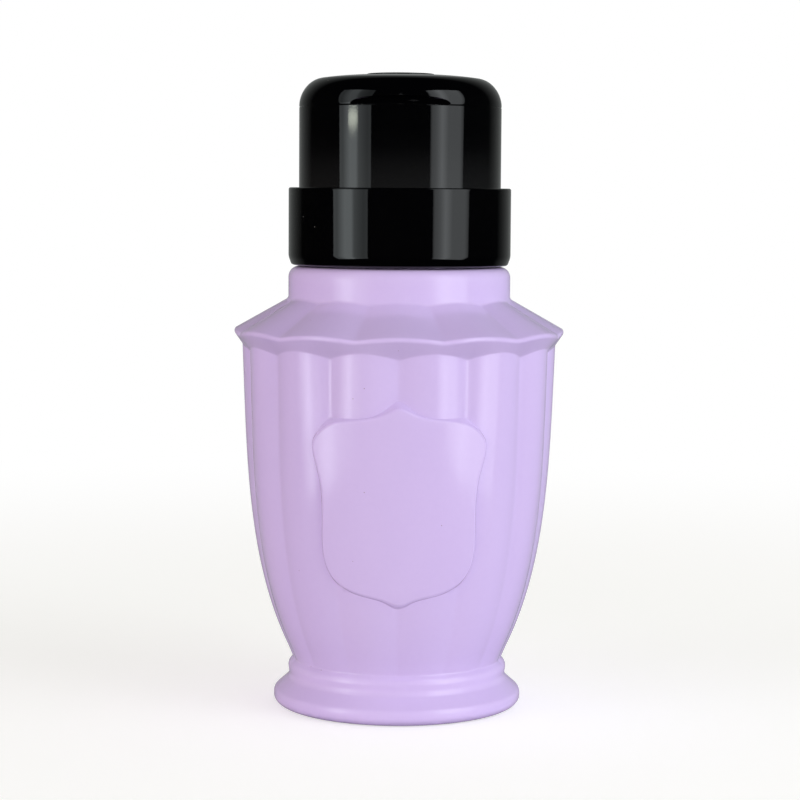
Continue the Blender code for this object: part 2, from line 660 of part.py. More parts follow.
def build_gasket(finish):
    return turned(
        "neck_gasket",
        [
            (NECK_RADIUS - CLEARANCE, GASKET_Z),
            (NECK_RADIUS - CLEARANCE, GASKET_Z + GASKET_THICKNESS),
            (GASKET_BORE_RADIUS, GASKET_Z + GASKET_THICKNESS),
            (GASKET_BORE_RADIUS, GASKET_Z),
        ],
        MIDDLE_SEGMENTS,
        finish,
    )


def seated_height(cone_top_z, cone_top_radius, ball_radius):
    """Height of a ball's centre when it sits, with clearance, in a 45 degree cone."""
    apex = cone_top_z - cone_top_radius
    return apex + (ball_radius + CLEARANCE) * math.sqrt(2)


def build_cylinder(finish):
    """The cylinder: flange and boss on top, cup, chamber, inlet valve seat and the dip tube's socket."""
    outer = CHAMBER_RADIUS + CHAMBER_WALL
    socket_outer = SOCKET_RADIUS + TUBE_SOCKET_WALL
    socket_mouth = SOCKET_ROOF_Z - TUBE_SOCKET_DEPTH
    return turned(
        "pump_cylinder",
        [
            (NECK_RADIUS - CLEARANCE, FLANGE_Z),
            (NECK_RADIUS - CLEARANCE, FLANGE_TOP_Z),
            (BOSS_RADIUS, FLANGE_TOP_Z),
            (BOSS_RADIUS, WELL_FLOOR_TOP_Z),
            (BOSS_BORE_RADIUS, WELL_FLOOR_TOP_Z),
            (BOSS_BORE_RADIUS, UPPER_FLOOR_TOP_Z),
            (CHAMBER_RADIUS, UPPER_FLOOR_TOP_Z),
            (CHAMBER_RADIUS, CHAMBER_FLOOR_Z),
            (VALVE_POCKET_RADIUS, CHAMBER_FLOOR_Z),
            (VALVE_POCKET_RADIUS, VALVE_CONE_TOP_Z),
            (VALVE_HOLE_RADIUS, VALVE_CONE_Z),
            (VALVE_HOLE_RADIUS, SOCKET_ROOF_Z),
            (SOCKET_RADIUS, SOCKET_ROOF_Z),
            (SOCKET_RADIUS, socket_mouth),
            (socket_outer, socket_mouth),
            (socket_outer, VALVE_CONE_Z),
            (outer, CHAMBER_FLOOR_Z - CHAMBER_WALL),
            (outer, CHAMBER_TOP_Z),
            (UPPER_CUP_RADIUS, CHAMBER_TOP_Z),
            (UPPER_CUP_RADIUS, FLANGE_Z),
        ],
        MIDDLE_SEGMENTS,
        finish,
    )


def build_dip_tube(finish):
    top = SOCKET_ROOF_Z - CLEARANCE
    bottom = PUSH_UP_DEPTH + FLOOR_THICKNESS + TUBE_FLOOR_GAP
    bore = TUBE_RADIUS - TUBE_WALL
    return turned(
        "dip_tube",
        [(TUBE_RADIUS, bottom), (TUBE_RADIUS, top), (bore, top), (bore, bottom)],
        NARROW_SEGMENTS,
        finish,
    )


def build_inlet_ball(finish):
    height = seated_height(VALVE_CONE_TOP_Z, VALVE_POCKET_RADIUS, INLET_BALL_RADIUS)
    return ball("inlet_ball", INLET_BALL_RADIUS, height, finish)


def build_cage(finish):
    """The ring that the spring stands on, with a crossed bar that keeps the inlet ball in its pocket."""
    radius = PISTON_RADIUS
    bore = radius - CAGE_RING_WALL
    cage = turned(
        "ball_cage",
        [(radius, CAGE_Z), (radius, CAGE_TOP_Z), (bore, CAGE_TOP_Z), (bore, CAGE_Z)],
        NARROW_SEGMENTS,
        finish,
    )
    reach = radius - CAGE_RING_WALL / 2
    half = CAGE_BAR_WIDTH / 2
    low, high = CAGE_TOP_Z - CAGE_BAR_HEIGHT, CAGE_TOP_Z - CLEARANCE
    ends = [(-half, low), (half, low), (half, high), (-half, high)]
    for axis in ("X", "Y"):
        combine(cage, prism(f"cage_bar_{axis.lower()}", ends, axis, -reach, reach), "UNION")
    return cage


def build_spring(finish):
    """A helical spring from the cage up to the stem's foot, as one bevelled curve with filled ends."""
    bottom = SPRING_Z + SPRING_WIRE_RADIUS
    top = SPRING_TOP_Z - SPRING_WIRE_RADIUS
    count = SPRING_COILS * SPRING_POINTS_PER_COIL
    data = bpy.data.curves.new("return_spring", "CURVE")
    data.dimensions = "3D"
    data.bevel_depth = SPRING_WIRE_RADIUS
    data.bevel_resolution = 1
    data.use_fill_caps = True
    data.resolution_u = 1
    spline = data.splines.new("POLY")
    spline.points.add(count)
    for i in range(count + 1):
        angle = 2 * math.pi * i / SPRING_POINTS_PER_COIL
        height = bottom + (top - bottom) * i / count
        spline.points[i].co = (SPRING_RADIUS * math.cos(angle), SPRING_RADIUS * math.sin(angle), height, 1)
    coil_gap = (top - bottom) / SPRING_COILS - 2 * SPRING_WIRE_RADIUS
    print(f"return spring: least gap between coils {coil_gap / MM:.2f} mm")
    return link("return_spring", data, finish)


def build_piston(finish):
    """A two-lipped piston on the stem, just under the guide's floor."""
    bore = STEM_RADIUS + CLEARANCE
    hub = bore + PISTON_HUB_WALL
    lip = PISTON_RADIUS - PISTON_LIP_WALL
    waist = (hub + PISTON_RADIUS) / 2
    low, high = PISTON_Z + PISTON_LIP_HEIGHT / 2, PISTON_TOP_Z - PISTON_LIP_HEIGHT / 2
    return turned(
        "piston_seal",
        [
            (bore, low),
            (hub, low),
            (lip, PISTON_Z),
            (PISTON_RADIUS, PISTON_Z),
            (PISTON_RADIUS, PISTON_Z + PISTON_LIP_HEIGHT),
            (waist, PISTON_Z + PISTON_HEIGHT / 2),
            (PISTON_RADIUS, PISTON_TOP_Z - PISTON_LIP_HEIGHT),
            (PISTON_RADIUS, PISTON_TOP_Z),
            (lip, PISTON_TOP_Z),
            (hub, high),
            (bore, high),
        ],
        NARROW_SEGMENTS,
        finish,
    )


def build_stem(finish):
    """The hollow stem: a foot on the spring, a bore, and the outlet ball's seat and pocket on top."""
    cone = STEM_POCKET_Z - (STEM_POCKET_RADIUS - STEM_BORE_RADIUS)
    return turned(
        "piston_stem",
        [
            (STEM_FOOT_RADIUS, STEM_Z),
            (STEM_FOOT_RADIUS, STEM_FOOT_TOP_Z),
            (STEM_RADIUS, STEM_FOOT_TOP_Z),
            (STEM_RADIUS, STEM_TOP_Z),
            (STEM_POCKET_RADIUS, STEM_TOP_Z),
            (STEM_POCKET_RADIUS, STEM_POCKET_Z),
            (STEM_BORE_RADIUS, cone),
            (STEM_BORE_RADIUS, STEM_Z),
        ],
        NARROW_SEGMENTS,
        finish,
    )


def build_outlet_ball(finish):
    height = seated_height(STEM_POCKET_Z, STEM_POCKET_RADIUS, OUTLET_BALL_RADIUS)
    return ball("outlet_ball", OUTLET_BALL_RADIUS, height, finish)


def build_guide(finish):
    """The cup that snaps into the boss, guides the stem and clamps the well's floor under its flange."""
    bore = GUIDE_RADIUS - GUIDE_WALL
    flange_top = GUIDE_FLANGE_Z + GUIDE_FLANGE_THICKNESS
    return turned(
        "stem_guide",
        [
            (GUIDE_BORE_RADIUS, GUIDE_Z),
            (GUIDE_RADIUS, GUIDE_Z),
            (GUIDE_RADIUS, GUIDE_FLANGE_Z),
            (GUIDE_FLANGE_RADIUS, GUIDE_FLANGE_Z),
            (GUIDE_FLANGE_RADIUS, flange_top),
            (bore, flange_top),
            (bore, GUIDE_Z + GUIDE_FLOOR),
            (GUIDE_BORE_RADIUS, GUIDE_Z + GUIDE_FLOOR),
        ],
        MIDDLE_SEGMENTS,
        finish,
    )


def build_wiper(finish):
    bottom = GUIDE_Z + GUIDE_FLOOR + CLEARANCE
    top = bottom + WIPER_HEIGHT
    bore = STEM_RADIUS + CLEARANCE
    outer = bore + WIPER_WALL
    return turned(
        "stem_wiper",
        [(outer, bottom), (outer, top), (bore, top), (bore, bottom)],
        NARROW_SEGMENTS,
        finish,
    )


def build_well(finish):
    """The cup inside the housing that the dish travels in. Its floor sits on the collar's web."""
    top = HOUSING_TOP_Z - HOUSING_LIP_THICKNESS - CLEARANCE
    return turned(
        "pump_well",
        [
            (WELL_RADIUS, WELL_Z),
            (WELL_RADIUS, top),
            (WELL_BORE_RADIUS, top),
            (WELL_BORE_RADIUS, WELL_FLOOR_TOP_Z),
            (OPENING_RADIUS, WELL_FLOOR_TOP_Z),
            (OPENING_RADIUS, WELL_Z),
        ],
        MIDDLE_SEGMENTS,
        finish,
    )


def housing_knuckle_ends():
    """(low, high) along X of each of the housing's two knuckles."""
    low = LID_KNUCKLE_HALF + KNUCKLE_END_GAP
    high = low + HOUSING_KNUCKLE_LENGTH
    return ((-high, -low), (low, high))


def knuckle_outline(arc_deg, root):
    """A knuckle's section in the (y, z) plane: an arc round the pin, closed through the root's points."""
    first, last = arc_deg
    outline = []
    for k in range(KNUCKLE_STEPS + 1):
        angle = math.radians(first + (last - first) * k / KNUCKLE_STEPS)
        y = HINGE_Y + KNUCKLE_RADIUS * math.cos(angle)
        z = HINGE_Z + KNUCKLE_RADIUS * math.sin(angle)
        outline.append((y, z))
    return outline + root


def build_housing(finish):
    """The outer sleeve of the pump head, with a lip over the well and two hinge knuckles at the back."""
    bore = HOUSING_RADIUS - HOUSING_WALL
    housing = turned(
        "housing_shell",
        [
            (HOUSING_RADIUS, WELL_Z),
            (HOUSING_RADIUS, HOUSING_TOP_Z, HOUSING_EDGE_ROUND),
            (WELL_BORE_RADIUS, HOUSING_TOP_Z),
            (WELL_BORE_RADIUS, HOUSING_TOP_Z - HOUSING_LIP_THICKNESS),
            (bore, HOUSING_TOP_Z - HOUSING_LIP_THICKNESS),
            (bore, WELL_Z),
        ],
        WIDE_SEGMENTS,
        finish,
    )
    notch_radius = KNUCKLE_RADIUS + KNUCKLE_NOTCH_GAP
    reach = LID_KNUCKLE_HALF + CLEARANCE
    combine(housing, hinge_rod("knuckle_notch", notch_radius, -reach, reach), "DIFFERENCE")
    root = HOUSING_RADIUS - HOUSING_WALL / 2
    foot = HINGE_Z - GUSSET_DROP
    roots = [(root, HINGE_Z - CLEARANCE), (root, foot), (HOUSING_RADIUS, foot)]
    section = knuckle_outline(HOUSING_KNUCKLE_ARC_DEG, roots)
    for side, (low, high) in zip(("left", "right"), housing_knuckle_ends()):
        combine(housing, prism(f"knuckle_{side}", section, "X", low, high), "UNION")
    span = housing_knuckle_ends()[1][1] + OVERRUN
    combine(housing, hinge_rod("pin_bore", PIN_RADIUS + CLEARANCE, -span, span), "DIFFERENCE")
    return housing


def build_pin(finish):
    half = housing_knuckle_ends()[1][1]
    return hinge_rod("hinge_pin", PIN_RADIUS, -half, half, finish)


def lid_outline():
    """The lid's section from the axis round the plug ring inside, and back over the crown to the axis."""
    corner_foot = (LID_RADIUS, LID_Z + LID_SKIRT_HEIGHT)
    corner_top = (LID_RADIUS - LID_CORNER_WIDTH, LID_TOP_Z - LID_CROWN_RISE)
    handles = [shared(corner_foot, corner_top, share) for share in LID_CORNER_SHARES]
    corner = bezier(corner_foot, *handles, corner_top, CORNER_STEPS)

    def crown(radius):
        return LID_TOP_Z - LID_CROWN_RISE * (radius / corner_top[0]) ** 3

    crown_middle = (corner_top[0] + LID_RING_RADIUS) / 2
    ring_bore = LID_RING_RADIUS - LID_RING_WIDTH
    ring_top = crown(LID_RING_RADIUS) + LID_RING_RAISE
    roof = LID_ROOF_Z
    plug_bore = PLUG_RADIUS - LID_PLUG_WALL
    skirt_bore = LID_RADIUS - LID_WALL
    plug_foot = HOUSING_TOP_Z - LID_PLUG_DEPTH
    outer = [
        (crown_middle, crown(crown_middle)),
        (LID_RING_RADIUS, crown(LID_RING_RADIUS)),
        (LID_RING_RADIUS, ring_top),
        (ring_bore, ring_top),
        (ring_bore, crown(ring_bore)),
        (0.0, LID_TOP_Z),
    ]
    inner = [
        (0.0, roof),
        (plug_bore, roof),
        (plug_bore, plug_foot),
        (PLUG_RADIUS, plug_foot),
        (PLUG_RADIUS, roof - LID_SKIRT_HEIGHT / 2),
        (skirt_bore, roof - LID_SKIRT_HEIGHT),
        (skirt_bore, LID_Z),
    ]
    return inner + [(LID_RADIUS, LID_Z)] + corner + outer


def build_scoop():
    """The cutter of the thumb scoop: a flattened ball, bent along the lid's round front."""
    bm = bmesh.new()
    bmesh.ops.create_uvsphere(bm, u_segments=2 * BALL_SEGMENTS, v_segments=BALL_SEGMENTS, radius=1)
    reach = SCOOP_DEPTH + SCOOP_STAND_OFF
    size = Matrix.Diagonal((SCOOP_HALF_WIDTH, reach, SCOOP_HEIGHT, 1))
    bmesh.ops.transform(bm, matrix=size, verts=bm.verts)
    for vert in bm.verts:
        vert.co.y += LID_RADIUS - math.sqrt(LID_RADIUS**2 - vert.co.x**2)
    bmesh.ops.translate(bm, verts=bm.verts, vec=(0, -LID_RADIUS - SCOOP_STAND_OFF, LID_Z))
    return place_mesh("thumb_scoop", bm)


def build_lid(finish):
    """The flip lid, whose one knuckle sits between the housing's two."""
    lid = place_mesh("flip_lid", turned_bmesh(lid_outline(), WIDE_SEGMENTS, closed=False), finish)
    combine(lid, build_scoop(), "DIFFERENCE")
    clear = KNUCKLE_RADIUS + CLEARANCE
    for side, (low, high) in zip(("left", "right"), housing_knuckle_ends()):
        notch = hinge_rod(f"lid_notch_{side}", clear, low - CLEARANCE, high + CLEARANCE)
        combine(lid, notch, "DIFFERENCE")
    half = LID_KNUCKLE_HALF
    root = LID_RADIUS - LID_WALL / 2
    top = HINGE_Z + KNUCKLE_RADIUS
    section = knuckle_outline(LID_KNUCKLE_ARC_DEG, [(root, LID_Z + CLEARANCE), (root, top)])
    combine(lid, prism("lid_knuckle", section, "X", -half, half), "UNION")
    reach = half + OVERRUN
    combine(lid, hinge_rod("lid_pin_bore", PIN_RADIUS + CLEARANCE, -reach, reach), "DIFFERENCE")
    return lid


def build_liner(finish):
    radius = PLUG_RADIUS - LID_PLUG_WALL - CLEARANCE
    top = LID_ROOF_Z - CLEARANCE
    bottom = top - LINER_THICKNESS
    outline = [(0.0, bottom), (radius, bottom), (radius, top), (0.0, top)]
    return place_mesh("lid_liner", turned_bmesh(outline, MIDDLE_SEGMENTS, closed=False), finish)


def build_dish(finish):
    """The saucer that a cotton pad is pressed on, with a skirt in the well and a hub over the stem."""
    rim = DISH_RADIUS - DISH_RIM_WALL
    rim_round = DISH_RIM_WALL / 3
    seat_bore = NOZZLE_RADIUS + CLEARANCE
    seat_outer = seat_bore + NOZZLE_SEAT_WALL
    seat_top = NOZZLE_SEAT_Z + NOZZLE_HEIGHT
    socket = STEM_RADIUS + CLEARANCE
    hub = socket + HUB_WALL
    hub_foot = HUB_ROOF_Z - HUB_LENGTH
    skirt_bore = DISH_RADIUS - DISH_SKIRT_WALL
    under_edge = DISH_EDGE_Z - DISH_THICKNESS
    return turned(
        "press_dish",
        [
            (DISH_RADIUS, DISH_SKIRT_Z),
            (DISH_RADIUS, DISH_RIM_Z, rim_round),
            (rim, DISH_RIM_Z, rim_round),
            (rim - DISH_RIM_WALL, DISH_EDGE_Z, DISH_RIM_WALL),
            (seat_outer, DISH_CENTRE_Z),
            (seat_outer, seat_top),
            (seat_bore, seat_top),
            (seat_bore, NOZZLE_SEAT_Z),
            (OUTLET_PASSAGE_RADIUS, NOZZLE_SEAT_Z),
            (OUTLET_PASSAGE_RADIUS, HUB_ROOF_Z),
            (socket, HUB_ROOF_Z),
            (socket, hub_foot),
            (hub, hub_foot),
            (hub, HUB_ROOF_Z),
            (skirt_bore - DISH_RIM_WALL, under_edge),
            (skirt_bore, under_edge - DISH_RIM_WALL),
            (skirt_bore, DISH_SKIRT_Z),
        ],
        MIDDLE_SEGMENTS,
        finish,
    )


def build_nozzle(finish):
    """The slotted plug in the dish's middle that the liquid wells up round."""
    bottom = NOZZLE_SEAT_Z + CLEARANCE
    top = bottom + NOZZLE_HEIGHT
    nozzle = turned(
        "nozzle_insert",
        [
            (NOZZLE_RADIUS, bottom),
            (NOZZLE_RADIUS, top, NOZZLE_SLOT_WIDTH / 2),
            (NOZZLE_HOLE_RADIUS, top),
            (NOZZLE_HOLE_RADIUS, bottom),
        ],
        NARROW_SEGMENTS,
        finish,
    )
    half = NOZZLE_SLOT_WIDTH / 2
    floor = top - NOZZLE_SLOT_DEPTH
    slot = [(-half, floor), (half, floor), (half, top + OVERRUN), (-half, top + OVERRUN)]
    reach = NOZZLE_RADIUS + OVERRUN
    for axis in ("X", "Y"):
        combine(nozzle, prism(f"nozzle_slot_{axis.lower()}", slot, axis, -reach, reach), "DIFFERENCE")
    return nozzle


def carry(joint_name, place, pieces):
    """Parents the pieces of a moving group to an empty that stands on its joint's axis."""
    empty = bpy.data.objects.new(joint_name, None)
    empty.location = place
    bpy.context.scene.collection.objects.link(empty)
    for piece in pieces:
        piece.parent = empty
        piece.matrix_parent_inverse = Matrix.Translation(-Vector(place))
    return empty


def build_all():
    clear_scene()
    build_bottle(LAVENDER_PLASTIC)
    collar = build_collar(BLACK_PLASTIC)
    head = [
        build_gasket(GREY_RUBBER),
        build_cylinder(NATURAL_PLASTIC),
        build_dip_tube(TUBE_PLASTIC),
        build_inlet_ball(BRIGHT_STEEL),
        build_cage(NATURAL_PLASTIC),
        build_spring(BRIGHT_STEEL),
        build_guide(NATURAL_PLASTIC),
        build_wiper(GREY_RUBBER),
        build_well(BLACK_PLASTIC),
        build_housing(BLACK_PLASTIC),
        build_pin(BRIGHT_STEEL),
    ]
    plunger = [
        build_dish(BLACK_PLASTIC),
        build_nozzle(NATURAL_PLASTIC),
        build_stem(NATURAL_PLASTIC),
        build_piston(GREY_RUBBER),
        build_outlet_ball(BRIGHT_STEEL),
    ]
    lid = [build_lid(BLACK_PLASTIC), build_liner(WHITE_FOAM)]

    carry("head_lift", (0.0, 0.0, NECK_TOP_Z), head)
    carry("collar_turn", (0.0, 0.0, NECK_TOP_Z), [collar])
    carry("dish_press", (0.0, 0.0, DISH_RIM_Z), plunger)
    carry("lid_hinge", (0.0, HINGE_Y, HINGE_Z), lid)
    print(f"neck top z {NECK_TOP_Z / MM:.2f}, spring foot z {SPRING_Z / MM:.2f} mm")
    print(f"hinge axis y {HINGE_Y / MM:.2f} z {HINGE_Z / MM:.2f}, lid top z {LID_TOP_Z / MM:.2f} mm")


build_all()
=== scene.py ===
"""Nail polish remover pump: the looks of its pieces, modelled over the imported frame.

Run as a script in Blender 4.5. Metres, +Z up, the front with the shield panel faces -Y.
"""

import math
from contextlib import contextmanager

import bmesh
import bpy
from bpy.props import FloatProperty, FloatVectorProperty, IntProperty, PointerProperty
from mathutils import Matrix, Vector


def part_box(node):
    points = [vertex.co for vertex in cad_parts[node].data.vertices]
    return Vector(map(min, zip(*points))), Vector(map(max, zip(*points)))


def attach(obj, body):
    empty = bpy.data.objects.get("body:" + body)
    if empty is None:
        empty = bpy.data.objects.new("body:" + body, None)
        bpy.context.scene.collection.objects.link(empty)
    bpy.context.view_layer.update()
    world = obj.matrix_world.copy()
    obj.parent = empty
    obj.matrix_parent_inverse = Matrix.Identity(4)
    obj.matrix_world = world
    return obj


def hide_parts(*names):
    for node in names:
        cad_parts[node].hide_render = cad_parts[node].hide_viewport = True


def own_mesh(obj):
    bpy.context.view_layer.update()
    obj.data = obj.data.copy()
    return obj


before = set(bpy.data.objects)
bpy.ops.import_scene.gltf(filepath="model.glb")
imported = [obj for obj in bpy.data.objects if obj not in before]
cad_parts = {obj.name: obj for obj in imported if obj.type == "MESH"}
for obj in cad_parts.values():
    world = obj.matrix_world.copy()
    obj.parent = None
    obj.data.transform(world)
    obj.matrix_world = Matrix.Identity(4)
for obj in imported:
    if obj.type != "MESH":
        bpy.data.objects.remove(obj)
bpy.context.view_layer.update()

bl_info = {
    "name": "Nail Polish Remover Pump",
    "version": (1, 0, 0),
    "blender": (4, 5, 0),
    "location": "View3D > Sidebar > Pump Bottle",
    "description": "Models the fluted bottle, the pump head and the studio stage",
    "category": "Add Mesh",
}

MM = 0.001
WELD = 0.001 * MM
BOX = {node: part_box(node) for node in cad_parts}


def top(node):
    return BOX[node][1].z


def foot(node):
    return BOX[node][0].z


def reach(node):
    return BOX[node][1].x


# Sizes and colours that a user would change


def length(name, description, default):
    return FloatProperty(name=name, description=description, default=default, min=0.0, unit="LENGTH", precision=5)


def share(name, description, default):
    return FloatProperty(name=name, description=description, default=default, min=0.0, max=1.0, subtype="FACTOR")


def colour(name, description, default):
    return FloatVectorProperty(
        name=name, description=description, default=default, min=0.0, max=1.0, size=3, subtype="COLOR"
    )


class BottleSizes(bpy.types.PropertyGroup):
    columns: IntProperty(name="Columns", description="Columns of the mesh round the bottle", default=504, min=84)
    lobes: IntProperty(name="Lobes", description="Rounded flutes round the body", default=14, min=3)
    petals: IntProperty(name="Petals", description="Rounded petals round the shoulder", default=12, min=3)
    lobe_depth_top: length("Lobe depth, top", "Depth of the grooves just under the ridge", 1.5 * MM)
    lobe_depth_foot: length("Lobe depth, foot", "Depth of the grooves at the waist", 0.4 * MM)
    petal_depth_ridge: length("Petal depth, ridge", "How far the shoulder drops at the ridge, in a groove", 1.05 * MM)
    petal_depth_band: length("Petal depth, band", "How far the shoulder drops at the neck band", 0.62 * MM)
    ridge_round: length("Ridge round", "Radius of the rounding along the ridge", 0.85 * MM)
    ledge_round: length("Ledge round", "Radius of the hollow between the lobes and the ledge", 0.9 * MM)
    panel_rise: length("Panel rise", "Height of the shield panel over the lobes", 0.64 * MM)
    panel_bevel: length("Panel bevel", "Width of the panel's sloping edge", 0.26 * MM)


class HeadSizes(bpy.types.PropertyGroup):
    columns: IntProperty(name="Columns", description="Columns of the mesh round the head", default=288, min=48)
    scoop_half_width: length("Scoop half width", "Half of the thumb scoop's width", 11.9 * MM)
    scoop_height: length("Scoop height", "Height of the thumb scoop", 2.2 * MM)
    scoop_depth: length("Scoop depth", "How far the thumb scoop goes into the lid", 1.2 * MM)
    edge_round: length("Edge round", "Radius of the small rounded edges", 0.16 * MM)


class Finishes(bpy.types.PropertyGroup):
    lavender: colour("Lavender", "Satin plastic of the bottle", (0.604, 0.471, 0.822))
    lavender_shade: colour("Lavender shade", "The bottle's deeper tone", (0.578, 0.446, 0.803))
    black: colour("Black", "Gloss plastic of the head", (0.0003, 0.0003, 0.0006))
    black_haze: colour("Black haze", "Where the gloss plastic is handled", (0.0006, 0.0006, 0.0009))
    natural: colour("Natural", "Uncoloured plastic of the works inside", (0.80, 0.81, 0.77))
    rubber: colour("Rubber", "Seals and piston", (0.30, 0.31, 0.32))
    foam: colour("Foam", "Disc in the lid", (0.74, 0.74, 0.71))
    steel: colour("Steel", "Spring, balls and hinge pin", (0.60, 0.60, 0.61))
    bottle_roughness: share("Bottle roughness", "Roughness of the satin plastic", 0.115)
    head_roughness: share("Head roughness", "Roughness of the gloss plastic", 0.032)


class StageSettings(bpy.types.PropertyGroup):
    camera_distance: length("Camera distance", "From the bottle's axis to the camera", 0.545)
    camera_height: length("Camera height", "From the floor to the camera", 0.117)
    camera_tilt: FloatProperty(
        name="Camera tilt", description="Downwards", default=math.radians(5.0), subtype="ANGLE"
    )
    camera_roll: FloatProperty(
        name="Camera roll", description="To the left", default=math.radians(0.38), subtype="ANGLE"
    )
    lens: FloatProperty(name="Lens", description="Focal length", default=108.63, min=1.0, subtype="DISTANCE_CAMERA")
    left_power: FloatProperty(name="Left softbox", description="Power", default=3.55, min=0.0, unit="POWER")
    right_power: FloatProperty(name="Right softbox", description="Power", default=3.74, min=0.0, unit="POWER")
    surround: FloatProperty(name="Surround", description="Strength of the soft light all round", default=3.1, min=0.0)
    floor: colour("Floor", "Pale floor", (0.72, 0.71, 0.72))
    floor_lift: share("Floor lift", "How much the floor near the bottle is lifted towards white", 0.48)


GROUPS = {"bottle_sizes": BottleSizes, "head_sizes": HeadSizes, "finishes": Finishes, "stage_settings": StageSettings}


# Hand tools


def lone(piece):
    """Selects one piece and nothing else."""
    bpy.ops.object.select_all(action="DESELECT")
    piece.select_set(True)
    bpy.context.view_layer.objects.active = piece


@contextmanager
def editing(piece, selected="SELECT", kind="VERT"):
    """Opens a piece in edit mode with all or nothing selected, and closes it again."""
    lone(piece)
    bpy.ops.object.mode_set(mode="EDIT")
    bpy.ops.mesh.select_mode(type=kind)
    bpy.ops.mesh.select_all(action=selected)
    yield bmesh.from_edit_mesh(piece.data)
    bpy.ops.object.mode_set(mode="OBJECT")


def named(name):
    """Names the primitive that has just been added."""
    piece = bpy.context.object
    piece.name = piece.data.name = name
    return piece


def apply(piece, kind, **settings):
    """Adds a modifier to a piece and applies it."""
    lone(piece)
    modifier = piece.modifiers.new(kind.lower(), kind)
    for key, value in settings.items():
        setattr(modifier, key, value)
    bpy.ops.object.modifier_apply(modifier=modifier.name)


def join_solid(piece, tool, operation, solver="EXACT"):
    """Adds a solid to a piece or cuts it away, and drops the tool."""
    apply(piece, "BOOLEAN", object=tool, operation=operation, solver=solver)
    bpy.data.objects.remove(tool)


def curve_between(start, end, shares, steps):
    """Points along a curve from start to end, with its two handles at shares of the way across and up."""
    handles = [tuple(a + (b - a) * s for a, b, s in zip(start, end, pair)) for pair in shares]
    points = []
    for k in range(steps + 1):
        t = k / steps
        s = 1 - t
        weights = (s**3, 3 * s * s * t, 3 * s * t * t, t**3)
        points.append(tuple(sum(w * p[i] for w, p in zip(weights, (start, *handles, end))) for i in (0, 1)))
    return points


def arc(corner, before, after, radius, steps):
    """The points of a rounded corner, from the side towards before round to the side towards after."""
    here = Vector(corner)
    back = (Vector(before) - here).normalized()
    ahead = (Vector(after) - here).normalized()
    half = back.angle(ahead) / 2
    centre = here + (back + ahead).normalized() * (radius / math.sin(half))
    start = here + back * (radius / math.tan(half)) - centre
    end = here + ahead * (radius / math.tan(half)) - centre
    turn = start.angle_signed(end)
    points = []
    for k in range(steps + 1):
        spoke = start.copy()
        spoke.rotate(Matrix.Rotation(-turn * k / steps, 2))
        points.append(tuple(centre + spoke))
    return points


def rounded(corners, steps=5, closed=True):
    """An outline from corners (radius, height[, rounding]), with each rounding drawn as an arc."""
    outline = []
    for i, corner in enumerate(corners):
        ends = not closed and i in (0, len(corners) - 1)
        if len(corner) < 3 or ends:
            outline.append(tuple(corner[:2]))
        else:
            after = corners[(i + 1) % len(corners)]
            outline += arc(corner[:2], corners[i - 1][:2], after[:2], corner[2], steps)
    return outline


def straight(start, end, steps):
    """The points between two points, without them."""
    return [tuple(a + (b - a) * k / steps for a, b in zip(start, end)) for k in range(1, steps)]


def lathe(name, section, columns, closed=True):
    """Sets a circle's points out as a section beside the axis, and spins it into a turned piece."""
    bpy.ops.object.select_all(action="DESELECT")
    bpy.ops.mesh.primitive_circle_add(vertices=len(section), radius=max(point[0] for point in section))
    piece = named(name)
    rows = piece.data.attributes.new("section_row", "INT", "POINT")
    for i, (radius, height) in enumerate(section):
        piece.data.vertices[i].co = (radius, 0.0, height)
        rows.data[i].value = i
    with editing(piece) as bm:
        if not closed:
            bm.edges.ensure_lookup_table()
            last = len(section) - 1
            bm.edges.remove(next(e for e in bm.edges if {v.index for v in e.verts} == {0, last}))
            bmesh.update_edit_mesh(piece.data)
        bpy.ops.mesh.spin(steps=columns, angle=2 * math.pi, center=(0, 0, 0), axis=(0, 0, 1))
        bpy.ops.mesh.select_all(action="SELECT")
        bpy.ops.mesh.remove_doubles(threshold=WELD)
        bpy.ops.mesh.normals_make_consistent(inside=False)
    return piece


def slab(name, outline, low, high):
    """A slab along X from low to high, whose outline is given in (y, z)."""
    bpy.ops.object.select_all(action="DESELECT")
    bpy.ops.mesh.primitive_circle_add(vertices=len(outline), radius=MM, fill_type="NGON")
    piece = named(name)
    for vert, (y, z) in zip(piece.data.vertices, outline):
        vert.co = (low, y, z)
    with editing(piece):
        bpy.ops.mesh.extrude_region_move(TRANSFORM_OT_translate={"value": (high - low, 0, 0)})
        bpy.ops.mesh.select_all(action="SELECT")
        bpy.ops.mesh.normals_make_consistent(inside=False)
    return piece


def rod(name, radius, low, high, bevel=0.0):
    """A rod along the hinge's axis from low to high."""
    bpy.ops.object.select_all(action="DESELECT")
    bpy.ops.mesh.primitive_cylinder_add(
        vertices=48,
        radius=radius,
        depth=high - low,
        location=((low + high) / 2, HINGE_Y, HINGE_Z),
        rotation=(0, math.pi / 2, 0),
    )
    piece = named(name)
    bpy.ops.object.transform_apply(location=True, rotation=True, scale=True)
    if bevel:
        with editing(piece, "DESELECT", "FACE") as bm:
            for face in bm.faces:
                face.select_set(abs(face.normal.x) > 0.9)
            bmesh.update_edit_mesh(piece.data)
            bpy.ops.mesh.inset(thickness=bevel, depth=0.0)
            bpy.ops.mesh.select_all(action="DESELECT")
            rim = max(abs(v.co.x) for v in bm.verts)
            for vert in bm.verts:
                off = math.hypot(vert.co.y - HINGE_Y, vert.co.z - HINGE_Z)
                if off > radius - WELD and abs(abs(vert.co.x) - rim) < WELD:
                    vert.co.x -= math.copysign(bevel, vert.co.x)
            bmesh.update_edit_mesh(piece.data)
    return piece


